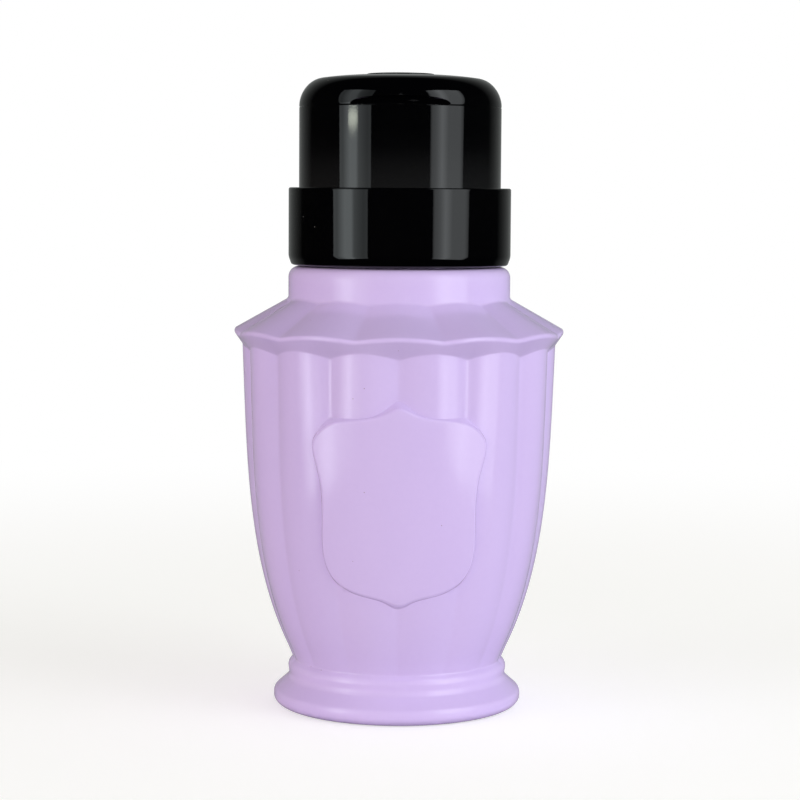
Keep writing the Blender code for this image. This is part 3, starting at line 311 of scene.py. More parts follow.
def wind(piece, turns, pitch, steps):
    """Winds a section up round the axis with the Screw modifier, and closes its ends."""
    count = round(turns * steps)
    apply(
        piece,
        "SCREW",
        axis="Z",
        angle=turns * 2 * math.pi,
        screw_offset=turns * pitch,
        steps=count,
        render_steps=count,
        use_smooth_shade=False,
    )
    with editing(piece, "DESELECT"):
        bpy.ops.mesh.select_non_manifold()
        bpy.ops.mesh.fill_holes(sides=0)
        bpy.ops.mesh.select_all(action="SELECT")
        bpy.ops.mesh.normals_make_consistent(inside=False)


def turns_up(point, start_z, pitch):
    """How many turns up a winding a point is."""
    turn = (math.atan2(point.x, -point.y) / (2 * math.pi)) % 1.0
    return turn + round((point.z - start_z) / pitch - turn)


def thread(name, root, crest, start_z, turns, steps=40):
    """A right-hand screw ridge with tapered ends."""
    half_root, half_crest = 1.0 * MM, 0.45 * MM
    section = ((root, -half_root), (crest, -half_crest), (crest, half_crest), (root, half_root))
    bpy.ops.object.select_all(action="DESELECT")
    bpy.ops.mesh.primitive_circle_add(vertices=len(section), radius=root)
    piece = named(name)
    for vert, (radius, height) in zip(piece.data.vertices, section):
        vert.co = (0.0, -radius, start_z + height)
    wind(piece, turns, THREAD_PITCH, steps)
    for vert in piece.data.vertices:
        radius = math.hypot(vert.co.x, vert.co.y)
        along = turns_up(vert.co, start_z, THREAD_PITCH) / turns
        rise = max(0.1, min(1.0, along / 0.12, (1 - along) / 0.12))
        grown = root + (radius - root) * rise
        vert.co.x *= grown / radius
        vert.co.y *= grown / radius
    return piece


def set_shading(piece, angle=32.0, weighted=True):
    """Smooth shading with crisp edges where the faces meet at more than the angle."""
    lone(piece)
    bpy.ops.object.shade_smooth_by_angle(angle=math.radians(angle))
    if weighted:
        apply(piece, "WEIGHTED_NORMAL", keep_sharp=True, weight=60)
    for attribute in [a for a in piece.data.attributes if a.name == "section_row"]:
        piece.data.attributes.remove(attribute)


def dress(piece, body, slot, finish, *nodes):
    """Gives a finished piece its finish, its body and the CAD nodes that it stands for."""
    piece.data.materials.clear()
    piece.data.materials.append(bpy.data.materials[finish])
    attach(piece, body)
    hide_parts(*nodes)


# Places that every piece of the head shares, read off the frame
THREAD_PITCH = 4.2 * MM
HINGE_Y = (BOX["hinge_pin"][0].y + BOX["hinge_pin"][1].y) / 2
HINGE_Z = (BOX["hinge_pin"][0].z + BOX["hinge_pin"][1].z) / 2
PIN_RADIUS = (BOX["hinge_pin"][1].y - BOX["hinge_pin"][0].y) / 2
KNUCKLE_RADIUS = BOX["flip_lid"][1].y - HINGE_Y
LID_KNUCKLE_HALF = 2.9 * MM
HOUSING_KNUCKLE_LOW = LID_KNUCKLE_HALF + 0.5 * MM
HOUSING_KNUCKLE_HIGH = BOX["hinge_pin"][1].x
HOUSING_TOP = 135.08 * MM
HOUSING_RADIUS = 22.68 * MM
LID_FOOT = HOUSING_TOP + 0.08 * MM


# Shader groups: they put out colours, masks and heights that change over the surface


class Effect:
    """A shader node group being built, with named inputs and outputs."""

    def __init__(self, name, inputs, outputs):
        self.tree = bpy.data.node_groups.new(name, "ShaderNodeTree")
        for socket, kind, default in inputs:
            made = self.tree.interface.new_socket(socket, in_out="INPUT", socket_type=kind)
            made.default_value = default
        for socket, kind in outputs:
            self.tree.interface.new_socket(socket, in_out="OUTPUT", socket_type=kind)
        self.entry = self.tree.nodes.new("NodeGroupInput").outputs
        self.exit = self.tree.nodes.new("NodeGroupOutput")

    def add(self, kind, **settings):
        return add_node(self.tree, kind, **settings)

    def give(self, **results):
        feed(self.tree, self.exit, results)


def feed(tree, node, values):
    """Sets a node's inputs, given by name or number, to values, or links them to other nodes' outputs."""
    for key, value in values.items():
        if isinstance(value, bpy.types.NodeSocket):
            tree.links.new(value, node.inputs[key])
        else:
            node.inputs[key].default_value = value


def add_node(tree, kind, **settings):
    """Adds a node and returns its outputs: values feeds its inputs, and other settings are its properties."""
    values = settings.pop("values", {})
    node = tree.nodes.new(kind)
    for key, value in settings.items():
        setattr(node, key, value)
    feed(tree, node, values)
    return node.outputs


FLOAT, COLOUR, VECTOR = "NodeSocketFloat", "NodeSocketColor", "NodeSocketVector"


def make_fine_grain():
    """Height of the fine grain that a moulded surface has, with a broad ripple under it."""
    effect = Effect(
        "fine_grain",
        [("Vector", VECTOR, (0, 0, 0)), ("Scale", FLOAT, 2500.0), ("Ripple", FLOAT, 0.3)],
        [("Height", FLOAT)],
    )
    place, scale, amount = (effect.entry[key] for key in ("Vector", "Scale", "Ripple"))
    grain = effect.add(
        "ShaderNodeTexNoise", values={"Vector": place, "Scale": scale, "Detail": 4.0, "Roughness": 0.6}
    )
    ripple = effect.add("ShaderNodeTexNoise", values={"Vector": place, "Scale": 90.0, "Detail": 2.0})
    both = effect.add("ShaderNodeMix", data_type="FLOAT", values={0: amount, 2: grain[0], 3: ripple[0]})
    effect.give(Height=both[0])


def make_tone_drift():
    """A colour that drifts between two tones in soft upright clouds, as in blown or moulded plastic."""
    white, grey = (1, 1, 1, 1), (0.9, 0.9, 0.9, 1)
    effect = Effect(
        "tone_drift",
        [
            ("Vector", VECTOR, (0, 0, 0)),
            ("Tone", COLOUR, white),
            ("Other tone", COLOUR, grey),
            ("Scale", FLOAT, 40.0),
        ],
        [("Colour", COLOUR)],
    )
    place, tone, other, scale = (effect.entry[key] for key in ("Vector", "Tone", "Other tone", "Scale"))
    upright = effect.add("ShaderNodeMapping", values={"Vector": place, "Scale": (1.0, 1.0, 0.35)})
    clouds = effect.add(
        "ShaderNodeTexNoise", values={"Vector": upright[0], "Scale": scale, "Detail": 3.0, "Roughness": 0.55}
    )
    fine = effect.add("ShaderNodeTexNoise", values={"Vector": place, "Scale": 900.0, "Detail": 3.0})
    total = effect.add("ShaderNodeMath", operation="MULTIPLY_ADD", values={0: fine[0], 1: 0.3, 2: clouds[0]})
    spread = effect.add("ShaderNodeMapRange", values={"Value": total[0], "From Min": 0.45, "From Max": 0.85})
    mix = effect.add("ShaderNodeMix", data_type="RGBA", values={0: spread[0], 6: tone, 7: other})
    effect.give(Colour=mix[2])


def make_handling():
    """Roughness with faint smears and fine scratches from handling."""
    effect = Effect(
        "handling",
        [("Vector", VECTOR, (0, 0, 0)), ("Clean", FLOAT, 0.1), ("Handled", FLOAT, 0.2), ("Scale", FLOAT, 60.0)],
        [("Roughness", FLOAT)],
    )
    place, clean, handled, scale = (effect.entry[key] for key in ("Vector", "Clean", "Handled", "Scale"))
    smears = effect.add(
        "ShaderNodeTexNoise",
        values={"Vector": place, "Scale": scale, "Detail": 5.0, "Roughness": 0.62, "Distortion": 0.6},
    )
    smeared = effect.add("ShaderNodeMapRange", values={"Value": smears[0], "From Min": 0.48, "From Max": 0.74})
    drawn = effect.add(
        "ShaderNodeMapping", values={"Vector": place, "Rotation": (0.4, 0.9, 0.3), "Scale": (9.0, 0.5, 1.0)}
    )
    hairs = effect.add("ShaderNodeTexNoise", values={"Vector": drawn[0], "Scale": 260.0, "Detail": 2.0})
    scratched = effect.add(
        "ShaderNodeMapRange", values={"Value": hairs[0], "From Min": 0.66, "From Max": 0.72, "To Max": 0.5}
    )
    either = effect.add("ShaderNodeMath", operation="MAXIMUM", values={0: smeared[0], 1: scratched[0]})
    worn = effect.add("ShaderNodeMapRange", values={"Value": either[0], "To Min": clean, "To Max": handled})
    effect.give(Roughness=worn[0])


def make_dust():
    """A mask of sparse, tiny specks of dust, with a rim of wear where edges stand out."""
    effect = Effect(
        "dust",
        [("Vector", VECTOR, (0, 0, 0)), ("Scale", FLOAT, 500.0), ("Size", FLOAT, 0.08)],
        [("Mask", FLOAT), ("Edge", FLOAT)],
    )
    place, scale, size = (effect.entry[key] for key in ("Vector", "Scale", "Size"))
    cells = effect.add("ShaderNodeTexVoronoi", feature="F1", values={"Vector": place, "Scale": scale})
    near = effect.add("ShaderNodeMath", operation="LESS_THAN", values={0: cells["Distance"], 1: size})
    chance = effect.add("ShaderNodeSeparateColor", values={0: cells["Color"]})
    rare = effect.add("ShaderNodeMath", operation="GREATER_THAN", values={0: chance[0], 1: 0.93})
    both = effect.add("ShaderNodeMath", operation="MULTIPLY", values={0: near[0], 1: rare[0]})
    shape = effect.add("ShaderNodeNewGeometry")
    edge = effect.add(
        "ShaderNodeMapRange", values={"Value": shape["Pointiness"], "From Min": 0.52, "From Max": 0.6}
    )
    effect.give(Mask=both[0], Edge=edge[0])


def use_effect(tree, group, **values):
    """Places a shader group in a material, feeds it and returns its outputs."""
    node = tree.nodes.new("ShaderNodeGroup")
    node.node_tree = bpy.data.node_groups[group]
    feed(tree, node, {key.replace("_", " "): value for key, value in values.items()})
    return node.outputs


def make_finish(name, tone, other, roughness, grain, shader, tone_scale=40.0, dust=None, stretch=None):
    """A moulded or metal finish: drifting tone, handled roughness and fine grain on one Principled shader.

    roughness is clean and handled, grain is its scale, height and ripple, and dust is the specks' scale,
    size and tone, then the tone and the amount of the wear on edges.
    """
    finish = bpy.data.materials.new(name)
    finish.use_nodes = True
    tree = finish.node_tree
    place = add_node(tree, "ShaderNodeTexCoord")["Object"]
    tones = {"Tone": (*tone, 1.0), "Other_tone": (*other, 1.0)}
    tint = use_effect(tree, "tone_drift", Vector=place, Scale=tone_scale, **tones)["Colour"]
    marks = use_effect(tree, "handling", Vector=place, Clean=roughness[0], Handled=roughness[1])
    along = add_node(tree, "ShaderNodeMapping", values={"Vector": place, "Scale": stretch})[0] if stretch else place
    grain_scale, grain_height, ripple = grain
    texture = use_effect(tree, "fine_grain", Vector=along, Scale=grain_scale, Ripple=ripple)
    raised = {"Height": texture["Height"], "Strength": 1.0, "Distance": grain_height}
    bump = add_node(tree, "ShaderNodeBump", values=raised)
    if dust:
        speck_scale, speck_size, speck_tone, wear_tone, wear_amount = dust
        specks = use_effect(tree, "dust", Vector=place, Scale=speck_scale, Size=speck_size)
        for mask, over, amount in (("Edge", wear_tone, wear_amount), ("Mask", speck_tone, 0.8)):
            weight = add_node(tree, "ShaderNodeMath", operation="MULTIPLY", values={0: specks[mask], 1: amount})
            blend = {0: weight[0], 6: tint, 7: (*over, 1.0)}
            tint = add_node(tree, "ShaderNodeMix", data_type="RGBA", values=blend)[2]
    varying = {"Base Color": tint, "Roughness": marks["Roughness"], "Normal": bump[0]}
    feed(tree, tree.nodes["Principled BSDF"], {**shader, **varying})


class PUMP_OT_finishes(bpy.types.Operator):
    """Make the shader groups and the finishes of the pieces"""

    bl_idname = "pump.finishes"
    bl_label = "Finishes"

    def execute(self, context):
        f = context.scene.finishes
        for make in (make_fine_grain, make_tone_drift, make_handling, make_dust):
            make()
        satin, gloss = f.bottle_roughness, f.head_roughness
        light = tuple(min(1.0, 1.08 * c) for c in f.lavender)
        make_finish(
            "satin_lavender", f.lavender, f.lavender_shade, (satin, satin + 0.05), (2600.0, 0.006 * MM, 0.25),
            {"IOR": 1.6}, 34.0, (420.0, 0.05, (0.25, 0.18, 0.28), light, 0.25),
        )
        make_finish(
            "gloss_black", f.black, f.black_haze, (gloss, gloss + 0.03), (3200.0, 0.0025 * MM, 0.35),
            {"IOR": 1.5}, 55.0, (380.0, 0.045, (0.16, 0.16, 0.16), (0.02, 0.02, 0.022), 0.4),
        )
        warm = tuple(c * 0.94 for c in f.natural)
        make_finish("natural_plastic", f.natural, warm, (0.30, 0.42), (1800.0, 0.01 * MM, 0.3), {"IOR": 1.5})
        clear = tuple(min(1.0, c * 1.04) for c in f.natural)
        make_finish("tube_plastic", clear, f.natural, (0.2, 0.3), (1500.0, 0.008 * MM, 0.5), {"IOR": 1.5})
        worn = tuple(c * 1.25 for c in f.rubber)
        make_finish("seal_rubber", f.rubber, worn, (0.55, 0.7), (2200.0, 0.03 * MM, 0.2), {"IOR": 1.45})
        dull = tuple(c * 0.9 for c in f.foam)
        make_finish("liner_foam", f.foam, dull, (0.8, 0.92), (1300.0, 0.12 * MM, 0.1), {"IOR": 1.4})
        make_finish(
            "drawn_steel", f.steel, tuple(c * 0.86 for c in f.steel), (0.16, 0.32), (1500.0, 0.012 * MM, 0.1),
            {"Metallic": 1.0}, 120.0, None, (1.0, 1.0, 0.08),
        )
        return {"FINISHED"}


# The bottle

# The body's side is a curve from the waist to the lobes' top, in radius and height
WAIST = (23.75 * MM, 11.2 * MM)
BODY_TOP = (35.36 * MM, 82.1 * MM)
BODY_HANDLES = ((0.92, 0.285), (0.915, 0.645))
BAND_RADIUS = reach("screw_collar")
BAND_TOP = 99.6 * MM
RIDGE_CORNER = (37.5 * MM, 85.35 * MM)
SHOULDER_CORNER = (BAND_RADIUS, 92.4 * MM)
PANEL_ROOT = 1.5 * MM
PANEL_ARC_RADIUS = 34.0 * MM
PANEL_FOOT_Z, PANEL_TOP_Z, PANEL_HALF_WIDTH = 26.9 * MM, 71.45 * MM, 19.6 * MM
PANEL_SHIFT = 0.3 * MM
# Half of the shield's outline from the peak down to the tip, as shares of its half width and height
PANEL_HALF = (
    (0.0, 0.985), (0.04, 0.982), (0.09, 0.971), (0.17, 0.952), (0.29, 0.935), (0.45, 0.926),
    (0.61, 0.918), (0.75, 0.905), (0.87, 0.876), (0.955, 0.838), (0.995, 0.803), (0.993, 0.76),
    (0.957, 0.697), (0.913, 0.632), (0.893, 0.555), (0.893, 0.475), (0.905, 0.39), (0.92, 0.31),
    (0.918, 0.24), (0.888, 0.185), (0.81, 0.13), (0.69, 0.09), (0.53, 0.06), (0.37, 0.045),
    (0.255, 0.036), (0.165, 0.024), (0.09, 0.008), (0.035, 0.001), (0.0, 0.0),
)


def side_radius(curve, height):
    """The radius of the lobes' crests at a height."""
    for (r0, z0), (r1, z1) in zip(curve, curve[1:]):
        if height <= z1:
            return r0 + (r1 - r0) * (height - z0) / (z1 - z0)
    return curve[-1][0]


def groove(angle, count, phase):
    """0 on a flute's crest and 1 in the grooves beside it, for count flutes in a full turn."""
    softness = 0.07
    off = 1.0 - abs(2.0 * ((angle * count / (2 * math.pi) + phase) % 1.0) - 1.0)
    off = math.sqrt(off * off + softness * softness) - softness
    return 1.0 - off * (2.0 - off)


def bottle_section(sizes, angle, curve):
    """The bottle's wall at one angle from the front: up the outside, over the neck and down the inside."""
    lobe = groove(angle, sizes.lobes, 0.0)
    petal = groove(angle, sizes.petals, 0.5)
    side = []
    for radius, height in curve:
        up = (height - WAIST[1]) / (BODY_TOP[1] - WAIST[1])
        depth = sizes.lobe_depth_foot + (sizes.lobe_depth_top - sizes.lobe_depth_foot) * up
        side.append((radius - depth * lobe, height))
    # The ledge leans out from the lobes' top to the ridge, and the grooves meet it lower down
    lean = (RIDGE_CORNER[0] - BODY_TOP[0]) / (RIDGE_CORNER[1] - BODY_TOP[1])
    corner = (side[-1][0], BODY_TOP[1] - 0.6 * sizes.lobe_depth_top * lobe / lean)
    fall = (SHOULDER_CORNER[1] - RIDGE_CORNER[1]) / (SHOULDER_CORNER[0] - RIDGE_CORNER[0])
    drop = sizes.petal_depth_ridge * petal / (1 - fall * lean)
    ridge = (RIDGE_CORNER[0] - drop * lean, RIDGE_CORNER[1] - drop)
    neck_foot = (SHOULDER_CORNER[0], SHOULDER_CORNER[1] - sizes.petal_depth_band * petal)
    ledge = arc(corner, side[-4], ridge, sizes.ledge_round, 5)
    top_of_side = ledge[0][1]
    scale = (top_of_side - WAIST[1]) / (BODY_TOP[1] - WAIST[1])
    body = [(r, WAIST[1] + (z - WAIST[1]) * scale) for r, z in side[:-1]]
    ridge_arc = arc(ridge, corner, neck_foot, sizes.ridge_round, 11)
    foot_arc = arc(neck_foot, ridge, (neck_foot[0], BAND_TOP), 1.0 * MM, 6)
    # The push-up under the bottle, the ring that it stands on and the foot's rounding
    rows = [(0.0, 1.6 * MM), (8.0 * MM, 1.6 * MM), (17.0 * MM, 1.55 * MM), (18.2 * MM, 1.2 * MM)]
    rows += [(18.9 * MM, 0.3 * MM), (19.4 * MM, 0.0), (22.5 * MM, 0.0)]
    quarter = [math.pi / 2 * k / 8 for k in range(9)]
    rows += [((25.0 + 3.05 * math.sin(a)) * MM, 2.1 * MM * (1 - math.cos(a))) for a in quarter]
    # Round lip, flare, hollow, round bead, and the hollow that the body stands in
    lip, crease, bead = (28.05 * MM, 3.5 * MM), (24.45 * MM, 6.7 * MM), (24.9 * MM, 9.4 * MM)
    notch = (WAIST[0] - 0.05 * MM - 0.6 * sizes.lobe_depth_foot * lobe, WAIST[1] - 0.5 * MM)
    rows += arc(lip, rows[-1], crease, 1.6 * MM, 6)
    rows += arc(crease, lip, bead, 2.0 * MM, 7)
    rows += arc(bead, crease, notch, 1.9 * MM, 6)
    rows += arc(notch, bead, body[3], 0.45 * MM, 5)
    rows += body[2:]
    rows += ledge + straight(ledge[-1], ridge_arc[0], 3) + ridge_arc
    rows += straight(ridge_arc[-1], foot_arc[0], 8) + foot_arc
    band_round = 2.4 * MM
    rows += straight(foot_arc[-1], (BAND_RADIUS, BAND_TOP - band_round), 3)
    for a in quarter:
        rows.append((BAND_RADIUS - band_round * (1 - math.cos(a)), BAND_TOP - band_round * (1 - math.sin(a))))
    neck, bore, mouth = 15.4 * MM, 13.2 * MM, 111.8 * MM
    neck_corners = [(20.0 * MM, BAND_TOP), (neck, BAND_TOP, 0.4 * MM), (neck, mouth, 0.4 * MM)]
    neck_corners += [(bore, mouth, 0.3 * MM), (bore, 97.8 * MM)]
    rows += rounded(neck_corners, 4, closed=False)
    rows += [(23.2 * MM, 96.0 * MM), (23.2 * MM, 90.0 * MM), (34.2 * MM, 83.4 * MM)]
    rows += [(r - 2.9 * MM, z) for r, z in curve[-6:0:-8]]
    rows += [(21.0 * MM, 6.6 * MM), (18.4 * MM, 3.8 * MM), (0.0, 3.8 * MM)]
    return rows


def smooth_outline(points, rounds):
    """A closed outline with its corners cut again and again, until it is smooth."""
    outline = [Vector(point) for point in points]
    for _ in range(rounds):
        following = outline[1:] + outline[:1]
        outline = [a.lerp(b, t) for a, b in zip(outline, following) for t in (0.25, 0.75)]
    return outline


def panel_plate(sizes, curve):
    """The raised shield: a turned disc whose rings are set out on the shield's outline, round the body."""
    height = PANEL_TOP_Z - PANEL_FOOT_Z
    half = [(x * PANEL_HALF_WIDTH, PANEL_FOOT_Z + z * height) for x, z in PANEL_HALF]
    outline = smooth_outline(half + [(-x, z) for x, z in half[-2:0:-1]], 2)
    count = len(outline)
    middle = Vector((0.0, (PANEL_FOOT_Z + PANEL_TOP_Z) / 2))
    out = []
    for i in range(count):
        along = outline[(i + 2) % count] - outline[i - 2]
        out.append(Vector((-along.y, along.x)).normalized())
    if out[0].dot(outline[0] - middle) < 0:
        out = [-o for o in out]
    rise, bevel = sizes.panel_rise, sizes.panel_bevel
    # Each ring's size, how far it is spread outwards, and its height over the lobes' crests
    rings = [(0.0, 0.0, -PANEL_ROOT), (0.5, 0.0, -PANEL_ROOT), (1.0, 1.3 * MM, -PANEL_ROOT), (1.0, 0.0, 0.0)]
    rings += [(1.0, *point) for point in arc((-bevel, rise), (0.0, 0.0), (-3.0 * bevel, rise), 0.92 * MM, 8)]
    rings += [(1.0 - 0.08 * k, -3.5 * bevel, rise) for k in range(1, 12)] + [(0.0, 0.0, rise)]
    disc = [(size * PANEL_HALF_WIDTH + spread, level) for size, spread, level in rings]
    plate = lathe("shield_plate", disc, count, closed=False)
    rows = plate.data.attributes["section_row"].data
    for vert, row in zip(plate.data.vertices, rows):
        size, spread, level = rings[row.value]
        column = round(math.atan2(vert.co.y, vert.co.x) * count / (2 * math.pi)) % count
        x, z = middle + (outline[column] + out[column] * spread - middle) * size
        turn = (x + PANEL_SHIFT) / PANEL_ARC_RADIUS
        radius = side_radius(curve, z) + level
        vert.co = (radius * math.sin(turn), -radius * math.cos(turn), z)
    with editing(plate):
        bpy.ops.mesh.normals_make_consistent(inside=False)
    return plate


class PUMP_OT_bottle(bpy.types.Operator):
    """Model the fluted bottle with its shield panel and threaded neck"""

    bl_idname = "pump.bottle"
    bl_label = "Bottle"

    def execute(self, context):
        sizes = context.scene.bottle_sizes
        # Up the crests of the lobes
        curve = curve_between(WAIST, BODY_TOP, BODY_HANDLES, 52)
        front = bottle_section(sizes, 0.0, curve)
        bottle = lathe("fluted_bottle", front, sizes.columns, closed=False)
        rows = bottle.data.attributes["section_row"].data
        sections = {}
        for vert, row in zip(bottle.data.vertices, rows):
            angle = math.atan2(vert.co.x, -vert.co.y)
            column = round(angle * sizes.columns / (2 * math.pi)) % sizes.columns
            turn = 2 * math.pi * column / sizes.columns
            if column not in sections:
                sections[column] = bottle_section(sizes, turn, curve)
            radius, height = sections[column][row.value]
            vert.co = (radius * math.sin(turn), -radius * math.cos(turn), height)
        root, crest, start_z, turns = 15.0 * MM, 16.5 * MM, 104.0 * MM, 1.5
        neck_thread = thread("neck_thread", root, crest, start_z, turns)
        join_solid(bottle, neck_thread, "UNION", "MANIFOLD")
        join_solid(bottle, panel_plate(sizes, curve), "UNION", "MANIFOLD")
        set_shading(bottle, 40.0, weighted=False)
        dress(bottle, "bottle", "bottle_plastic", "satin_lavender", "bottle_body")
        return {"FINISHED"}


def knuckle(arc_deg, root):
    """A hinge knuckle's outline in (y, z): an arc round the pin, closed through the root's points."""
    first, last = arc_deg
    outline = []
    for k in range(33):
        a = math.radians(first + (last - first) * k / 32)
        outline.append((HINGE_Y + KNUCKLE_RADIUS * math.cos(a), HINGE_Z + KNUCKLE_RADIUS * math.sin(a)))
    return outline + root


class PUMP_OT_collar(bpy.types.Operator):
    """Model the screw collar with its threaded skirt"""

    bl_idname = "pump.collar"
    bl_label = "Screw collar"

    def execute(self, context):
        outer, low, high = reach("screw_collar"), foot("screw_collar"), top("screw_collar")
        rim, opening, bore = HOUSING_RADIUS + 0.35 * MM, 12.0 * MM, 16.8 * MM
        web, soft = high - 0.6 * MM, 0.15 * MM
        corners = [
            (outer - 0.67 * MM, low, 0.7 * MM),
            (outer, low + 1.9 * MM, 3.2 * MM),
            (outer, (low + high) / 2),
            (outer, high, 0.45 * MM),
            (rim, high, soft),
            (rim, web),
            (opening, web),
            (opening, web - 1.5 * MM),
            (bore, web - 1.5 * MM),
            (bore, low + 0.8 * MM, soft),
            (bore + 1.5 * MM, low + 0.8 * MM, soft),
            (bore + 1.5 * MM, web - 3.0 * MM),
            (outer - 1.6 * MM, web - 3.0 * MM),
            (outer - 1.6 * MM, low, 0.12 * MM),
        ]
        collar = lathe("screw_collar_gloss", rounded(corners, 8), context.scene.head_sizes.columns)
        ridge = thread("collar_thread", bore + 0.4 * MM, 15.7 * MM, 101.9 * MM, 1.25)
        join_solid(collar, ridge, "UNION")
        set_shading(collar)
        dress(collar, "collar", "black_plastic", "gloss_black", "screw_collar")
        return {"FINISHED"}


class PUMP_OT_housing(bpy.types.Operator):
    """Model the head's housing with its two hinge knuckles, and the well inside it"""

    bl_idname = "pump.housing"
    bl_label = "Housing and well"

    def execute(self, context):
        sizes = context.scene.head_sizes
        soft = sizes.edge_round
        outer, low, high = HOUSING_RADIUS, foot("housing_shell"), HOUSING_TOP
        mouth, lip, wall = 20.0 * MM, 0.75 * MM, 1.25 * MM
        corners = [
            (outer, low),
            (outer, (low + high) / 2),
            (outer, high, soft),
            (mouth, high, soft),
            (mouth, high - lip),
            (outer - wall, high - lip),
            (outer - wall, low),
        ]
        housing = lathe("housing_gloss", rounded(corners, 6), sizes.columns)
        notch = LID_KNUCKLE_HALF + 0.3 * MM
        join_solid(housing, rod("knuckle_notch", KNUCKLE_RADIUS + 0.5 * MM, -notch, notch), "DIFFERENCE")
        root, gusset = outer - wall / 2, HINGE_Z - 4.0 * MM
        outline = knuckle((-45, 180), [(root, HINGE_Z - 0.3 * MM), (root, gusset), (outer, gusset)])
        for side, ends in (
            ("left", (-HOUSING_KNUCKLE_HIGH, -HOUSING_KNUCKLE_LOW)),
            ("right", (HOUSING_KNUCKLE_LOW, HOUSING_KNUCKLE_HIGH)),
        ):
            part = slab(f"knuckle_{side}", outline, *ends)
            apply(part, "BEVEL", width=0.18 * MM, segments=3, limit_method="ANGLE", angle_limit=math.radians(50))
            join_solid(housing, part, "UNION")
        span = HOUSING_KNUCKLE_HIGH + MM
        join_solid(housing, rod("pin_bore", PIN_RADIUS + 0.3 * MM, -span, span), "DIFFERENCE")
        set_shading(housing)
        dress(housing, "pump_unit", "black_plastic", "gloss_black", "housing_shell")
        outer, low, high = reach("pump_well"), foot("pump_well"), top("pump_well")
        corners = [
            (outer, low, soft),
            (outer, high, soft),
            (outer - 1.0 * MM, high, soft),
            (outer - 1.0 * MM, low + 1.5 * MM, 0.8 * MM),
            (12.0 * MM, low + 1.5 * MM, soft),
            (12.0 * MM, low),
        ]
        well = lathe("well_gloss", rounded(corners, 5), 192)
        set_shading(well)
        dress(well, "pump_unit", "black_plastic", "gloss_black", "pump_well")
        return {"FINISHED"}


